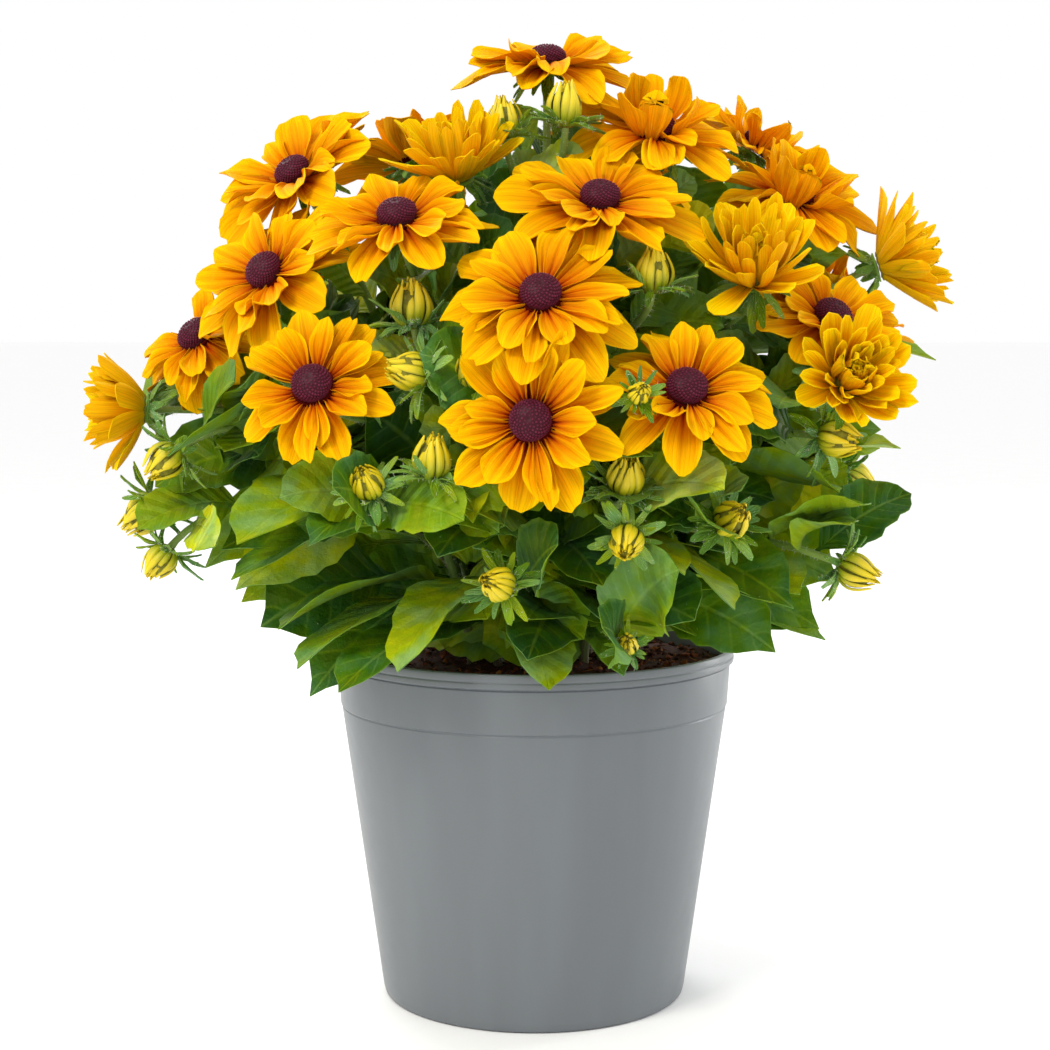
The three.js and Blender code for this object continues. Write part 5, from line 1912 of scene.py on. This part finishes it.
        fan = OUTER_FAN if self.plan.out > INNER_FOOT else 360
        for index in range(self.fillers):
            share = (index + 0.5) / self.fillers
            turn = self.plan.turn + (index * GOLDEN_TURN / TURN % 1.0 - 0.5) * fan
            length = lerp(70, 38, share) * dice.draw(0.8, 1.15)
            base, rise = self.main.at(lerp(0.03, 0.84, share)), lerp(0, 36, share) + dice.draw(-14, 14)
            add(base, math.radians(turn), rise, length, (0.12, 0.26), (0.4, 1.4))
        for name in self.plan.branches:
            curve = self.branch(name)
            is_low = ALL_HEADS[name].at[2] < LOW_HEAD
            large, small, spacing = (80, 40, 11) if is_low else (64, 28, 16)
            steps = int((curve.points[3] - curve.points[0]).length / spacing)
            for step in range(steps):
                share = (step + 0.6) / steps * 0.92
                flow = curve.tangent(share)
                turn = math.atan2(flow.x, -flow.y) + math.radians(dice.draw(-110, 110))
                length = lerp(large, small, share) * dice.draw(0.85, 1.2)
                add(curve.at(share), turn, dice.draw(-12, 42), length, (0.1, 0.24), (0.6, 1.8))
        leaves = [(blade, spot.form) for spot in spots if leaf_has_room(blade := spot.blade())]
        for large in SPILLING_LEAVES.get(self.name, ()):
            arch, roll, show = dice.draw(0.2, 0.3), dice.draw(-10, 10), dice.draw(1.2, 2.0)
            spot = self.leaf_to_tip(large, arch, roll, STALKED_LEAF_FORM, show)
            leaves.append((spot.blade(), spot.form))
        return leaves

    def grow_leaves(self) -> None:
        """Bends every leaf of the shoot."""
        dice = Seed.LEAF_SHAPE.dice(self.index)
        for blade, form in [*self.solid_leaves(), *self.filler_leaves()]:
            part = self.leaf_sheet.bend(form.surface(blade, dice), 0.55, dice.draw(0.12, 0.95))
            self.growth.pour(self.fuzz.cover(part, LEAF_COAT), self.LEAF)


@dataclass(frozen=True)
class Zone:
    """A box-shaped zone, between two corners."""

    low: Triple
    high: Triple

    def holds(self, point: Vector) -> bool:
        """Tells whether a point is inside."""
        return all(low < value < high for low, value, high in zip(self.low, point, self.high))


# The plant's outline, and the fan of bare stems above the rim
PLANT = Zone((-192, -160, -math.inf), (182, 148, 430))
STEM_FAN = Zone((-92, -math.inf, 180), (-34, -8, 234))


def leaf_has_room(blade: Blade) -> bool:
    """Tells whether a leaf stays clear of the flowers, the rim, the outline and the open fan of stems."""
    return all(is_clear(blade.frame(share)[0]) for share in (0.35, 0.6, 0.8, 1.0))


def is_clear(point: Vector) -> bool:
    """Tells whether a point is free for a leaf."""
    lowest = OVER_RIM if math.hypot(point.x, point.y) > RIM_STARTS else OVER_SOIL
    if point.z < lowest or STEM_FAN.holds(point) or not PLANT.holds(point):
        return False
    for head in (*OPEN_HEADS.values(), *HALF_HEADS.values()):
        away = point - head.centre
        height = away.dot(head.axis)
        out = (away - head.axis * height).length
        if FLOWER_BACK < height < FLOWER_FRONT and out < FLOWER_SHARE * head.reach:
            return False
    return True


def strap_surface(angle: float, scale: float, top: float, dice: Dice) -> Surface:
    """Lays out one incurved strap of a closed bud.

    Args:
        angle: Where it stands round the bud.
        scale: Its distance from the axis, as a share of an outer strap's.
        top: The height of its tip above the bud's middle.
        dice: The draws that make it a little unlike the others.

    Returns:
        The surface of the strap.
    """
    twist = math.radians(dice.draw(-10, 26))
    ridge = dice.draw(0.5, 1.0)
    bulge = scale * dice.draw(7.2, 8.4)
    closing = scale * dice.draw(1.4, 4.4)
    half = dice.draw(1.5, 2.0)
    foot = 3.8 * scale

    def point(across: float, along: float) -> Vector:
        share = along * (1 - 0.1 * across * across)
        belly = math.sin(math.pi * min(1.0, share * 1.02) ** 0.85)
        radius = lerp(foot, closing, share) + (bulge - foot) * belly * 0.95
        narrow = (0.6 + 0.4 * fade(0.0, 0.4, share)) * (1 - 0.72 * fade(0.6, 1.0, share))
        radius += ridge * (1 - 1.3 * across * across)
        theta = angle + across * half * narrow / max(3.0, radius) + twist * share
        return Vector((radius * math.cos(theta), radius * math.sin(theta), lerp(-7.6, top, share)))

    return point


@dataclass
class GrowingPot:
    """A tapered growing pot: moulded wall, seam, lip, and a floor with drain holes, filled with compost."""

    foot_radius: float = 68.5
    base_radius: float = 72.5
    seam_radius: float = 91.4
    seam_height: float = 139.5
    seam_step: float = 0.6
    groove: float = 0.5
    lip_bottom: float = 160.0
    lip_radius: float = 95.0
    height: float = 167.0
    wall: float = 1.8
    floor: float = 3.2
    drains: int = 5
    drain_ring: float = 53.0
    drain_radius: float = 4.5
    crumbs: int = 1100
    shreds: int = 260

    def profile(self) -> list[tuple[float, ...]]:
        """Returns the pot's section: under the foot, up the outside, over the lip and down inside."""
        foot, base, seam, lip = self.foot_radius, self.base_radius, self.seam_radius, self.lip_radius
        at_seam, under_lip, groove = self.seam_height, self.lip_bottom, self.groove
        return [
            (0, 1.2), (foot - 5, 1.2, 0.5), (foot - 4.2, 0, 0.5), (foot + 3.1, 0, 0.9), (base, 3.4, 0.9),
            (seam, at_seam - 1.0, 0.2), (seam - 0.5 * groove, at_seam - 0.6, 0.2),
            (seam - 0.5 * groove, at_seam - 0.1, 0.2), (seam + self.seam_step, at_seam + 0.4, 0.3),
            (lip - 1.8, under_lip - 1.0, 0.3), (lip - 1.8 - groove, under_lip - 0.5, 0.2),
            (lip, under_lip + 0.4, 0.5), (lip, under_lip + 2.6, 0.5),
            (lip - groove, under_lip + 3.2, 0.3), (lip, under_lip + 3.8, 0.5),
            (lip, self.height, 1.3), (lip - 2.6, self.height, 1.1), (lip - 3.2, under_lip, 1.0),
            (seam - self.wall, at_seam, 1.0), (base - self.wall, self.floor + 1, 1.2), (0, self.floor),
        ]

    def build_pot(self) -> None:
        """Builds the pot, and cuts its drain holes."""
        drill = new_part()
        for index in range(self.drains):
            angle = (index + 0.5) / self.drains * TURN
            spot = (self.drain_ring * math.cos(angle), self.drain_ring * math.sin(angle), 0)
            bmesh.ops.create_cone(
                drill, cap_ends=True, segments=32, radius1=self.drain_radius, radius2=self.drain_radius,
                depth=4 * self.floor, matrix=Matrix.Translation(spot),
            )
        blank = add_object("pot_blank", as_mesh(turned_shape(self.profile(), 128, 4), "pot_body"))
        cutter = add_object("drain_cutter", as_mesh(drill, "drain_drill"))
        cut = blank.modifiers.new("drains", "BOOLEAN")
        cut.operation = "DIFFERENCE"
        cut.object = cutter
        cut.solver = "EXACT"
        drilled = bpy.data.meshes.new_from_object(blank.evaluated_get(bpy.context.evaluated_depsgraph_get()))
        bpy.data.objects.remove(blank)
        bpy.data.objects.remove(cutter)
        drilled.shade_smooth()
        casting = Casting("growing_pot", Look.POT)
        casting.stamp(drilled, Matrix.Identity(4))
        casting.finish("pot", "pot", crease=28)

    def wall_at(self, height: float) -> float:
        """Returns how far out the compost reaches at a height, just inside the pot's wall."""
        share = (height - 4) / (self.seam_height - 4)
        return lerp(self.base_radius, self.seam_radius, share) - self.wall - 0.6

    def soil_height(self, x: float, y: float) -> float:
        """Returns the height of the crumbly compost at a place."""
        crown = lerp(SOIL_CROWN - 0.5, SOIL_EDGE, fade(0.0, 1.0, math.hypot(x, y) / 88))
        coarse = noise.noise(Vector((x, y, 0)) * 0.09) * 2.2
        fine = noise.noise(Vector((x, y, 7)) * 0.33) * 1.1
        return crown + coarse + fine

    def strewn(self, dice: Dice, reach: float) -> tuple[float, float]:
        """Returns a place on the compost, within a share of the way to the wall."""
        out = (self.wall_at(SOIL_EDGE) - 0.5) * math.sqrt(dice.share()) * reach
        angle = dice.draw(0, TURN)
        return out * math.cos(angle), out * math.sin(angle)

    def build_compost(self) -> None:
        """Builds the compost: a plug with an uneven top, strewn with crumbs and shreds of bark."""
        dice = Seed.COMPOST.dice()
        rim, bottom, rings = self.wall_at(SOIL_EDGE) - 0.5, self.floor + 0.4, 26
        profile = [(0.0, bottom), (self.wall_at(8) - 3, bottom), (self.wall_at(8), 8.0)]
        profile += [(rim * (1 - step / rings), SOIL_EDGE) for step in range(rings + 1)]
        plug = turned_shape(profile, 110)
        for vert in plug.verts:
            if vert.co.z > SOIL_EDGE - 1:
                vert.co.z = self.soil_height(vert.co.x, vert.co.y)
        casting = Casting("compost_fill", Look.COMPOST)
        casting.pour(tinted(plug, (0.0, 0.0, 0.3)))
        shapes = crumb_shapes()
        for index in range(self.crumbs):
            x, y = self.strewn(dice, 0.985)
            size = dice.draw(0.6, 1.0) + 1.5 * dice.share() ** 3
            axis = (dice.draw(-1, 1), dice.draw(-1, 1), dice.draw(-1, 1))
            turned = Quaternion(axis, dice.draw(0, TURN)).normalized().to_matrix().to_4x4()
            shape = Matrix.Diagonal((size * dice.draw(0.7, 1.7), size, size * dice.draw(0.5, 1.0), 1))
            spot = Matrix.Translation((x, y, self.soil_height(x, y) + size * 0.2))
            casting.stamp(shapes[index % len(shapes)], spot @ turned @ shape)
        for index in range(self.shreds):
            x, y = self.strewn(dice, 0.96)
            turned = Matrix.Rotation(dice.draw(0, TURN), 4, "Z")
            tilted = turned @ Matrix.Rotation(dice.draw(-0.35, 0.35), 4, "Y")
            shape = Matrix.Diagonal((dice.draw(2.2, 5.5), dice.draw(0.25, 0.7), 0.25, 1))
            spot = Matrix.Translation((x, y, self.soil_height(x, y) + 0.8))
            casting.stamp(shapes[index % len(shapes)], spot @ tilted @ shape)
        casting.finish("compost", "soil", crease=35)


def crumb_shapes() -> list[bpy.types.Mesh]:
    """Returns the few uneven crumbs of different tones that the compost's crumbs copy."""
    shapes = []
    for index in range(8):
        crumb = new_part()
        bmesh.ops.create_icosphere(crumb, subdivisions=1, radius=1.0)
        for vert in crumb.verts:
            vert.co *= 1 + 0.35 * noise.noise(vert.co * 1.3 + Vector((index * 5, 0, 0)))
        tone = 0.15 + 0.8 * (index / 7) ** 1.4
        shapes.append(as_mesh(tinted(crumb, (0.0, 0.0, tone)), f"crumb_{index}"))
    return shapes


@dataclass(frozen=True)
class SoftLight:
    """A square soft box that looks at the plant."""

    name: str
    at: Triple
    aim: Triple
    size: Span
    watts: float
    colour: str

    def hang(self) -> None:
        """Hangs the light in the scene."""
        lamp = bpy.data.lights.new(self.name, "AREA")
        lamp.shape = "RECTANGLE"
        lamp.size, lamp.size_y = self.size
        lamp.energy = self.watts
        lamp.color = linear(self.colour)[:3]
        holder = add_object(self.name, lamp)
        holder.location = self.at
        holder.rotation_euler = (Vector(self.aim) - Vector(self.at)).to_track_quat("-Z", "Y").to_euler()


@dataclass(frozen=True)
class Studio:
    """The pale floor, the soft lights and the camera, which stands where the photograph was taken from."""

    camera_at: Triple = (-0.0043, -0.9972, 0.3175)
    pitch: float = 5.39
    focal_pixels: float = 2109.0
    frame_pixels: float = 1050.0
    sensor: float = 36.0
    floor_half: float = 40.0
    lights: tuple[SoftLight, ...] = (
        SoftLight("key_light", (-1.1, -1.3, 1.9), (0.0, 0.0, 0.3), (0.8, 0.8), 28, "#fffaf0"),
        SoftLight("fill_light", (1.6, -1.0, 0.9), (0.0, 0.0, 0.3), (1.2, 1.2), 1.5, "#f4f8ff"),
        SoftLight("edge_light", (1.0, 0.5, 0.3), (0.0, 0.0, 0.15), (0.2, 0.7), 4, "#ffffff"),
        SoftLight("back_light", (-0.6, 1.6, 1.5), (0.0, 0.0, 0.3), (1.0, 1.0), 14, "#ffffff"),
    )

    def place_camera(self) -> None:
        """Places the camera."""
        data = bpy.data.cameras.new("studio_camera")
        data.sensor_width = self.sensor
        data.lens = self.focal_pixels / self.frame_pixels * self.sensor
        data.clip_start = 0.05
        data.clip_end = 200
        camera = add_object("studio_camera", data)
        camera.location = self.camera_at
        camera.rotation_euler = (math.radians(90 - self.pitch), 0, 0)
        bpy.context.scene.camera = camera

    def lay_floor(self) -> None:
        """Lays the pale floor."""
        floor = bmesh.new()
        bmesh.ops.create_grid(floor, x_segments=1, y_segments=1, size=self.floor_half)
        piece = add_object("studio_floor", as_mesh(floor, "studio_floor"))
        piece.data.materials.append(Look.FLOOR.material)
        piece.location.z = -0.5 * MM

    def light(self) -> None:
        """Lights the plant softly from all round, with a key light above the left."""
        world = bpy.data.worlds.new("soft_white_studio")
        world.use_nodes = True
        background = world.node_tree.nodes["Background"]
        background.inputs["Color"].default_value = linear("#ffffff")
        background.inputs["Strength"].default_value = 1.0
        bpy.context.scene.world = world
        bpy.context.scene.view_settings.view_transform = "Standard"
        for lamp in self.lights:
            lamp.hang()

    def build(self) -> None:
        """Builds the whole studio."""
        self.place_camera()
        self.lay_floor()
        self.light()


def main() -> None:
    """Builds every piece round the frame."""
    logging.basicConfig(level=logging.INFO, format="%(name)s %(message)s")
    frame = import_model()
    Studio().build()
    pot = GrowingPot()
    pot.build_pot()
    pot.build_compost()
    ray_sheet = Sheet(8, 11)
    quill_sheet = Sheet(4, 10)
    for index, (name, head) in enumerate(OPEN_HEADS.items()):
        OpenFlower(name, head, index, ray_sheet, frame).build()
    for index, (name, head) in enumerate(HALF_HEADS.items()):
        HalfOpenFlower(name, head, index, quill_sheet, frame).build()
    sheets = (Sheet(6, 15), Sheet(2, 5), Sheet(3, 7))
    for index, (name, plan) in enumerate(SHOOTS.items()):
        Shoot(name, plan, index, *sheets, frame).build()
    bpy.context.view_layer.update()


if __name__ == "__main__":
    main()
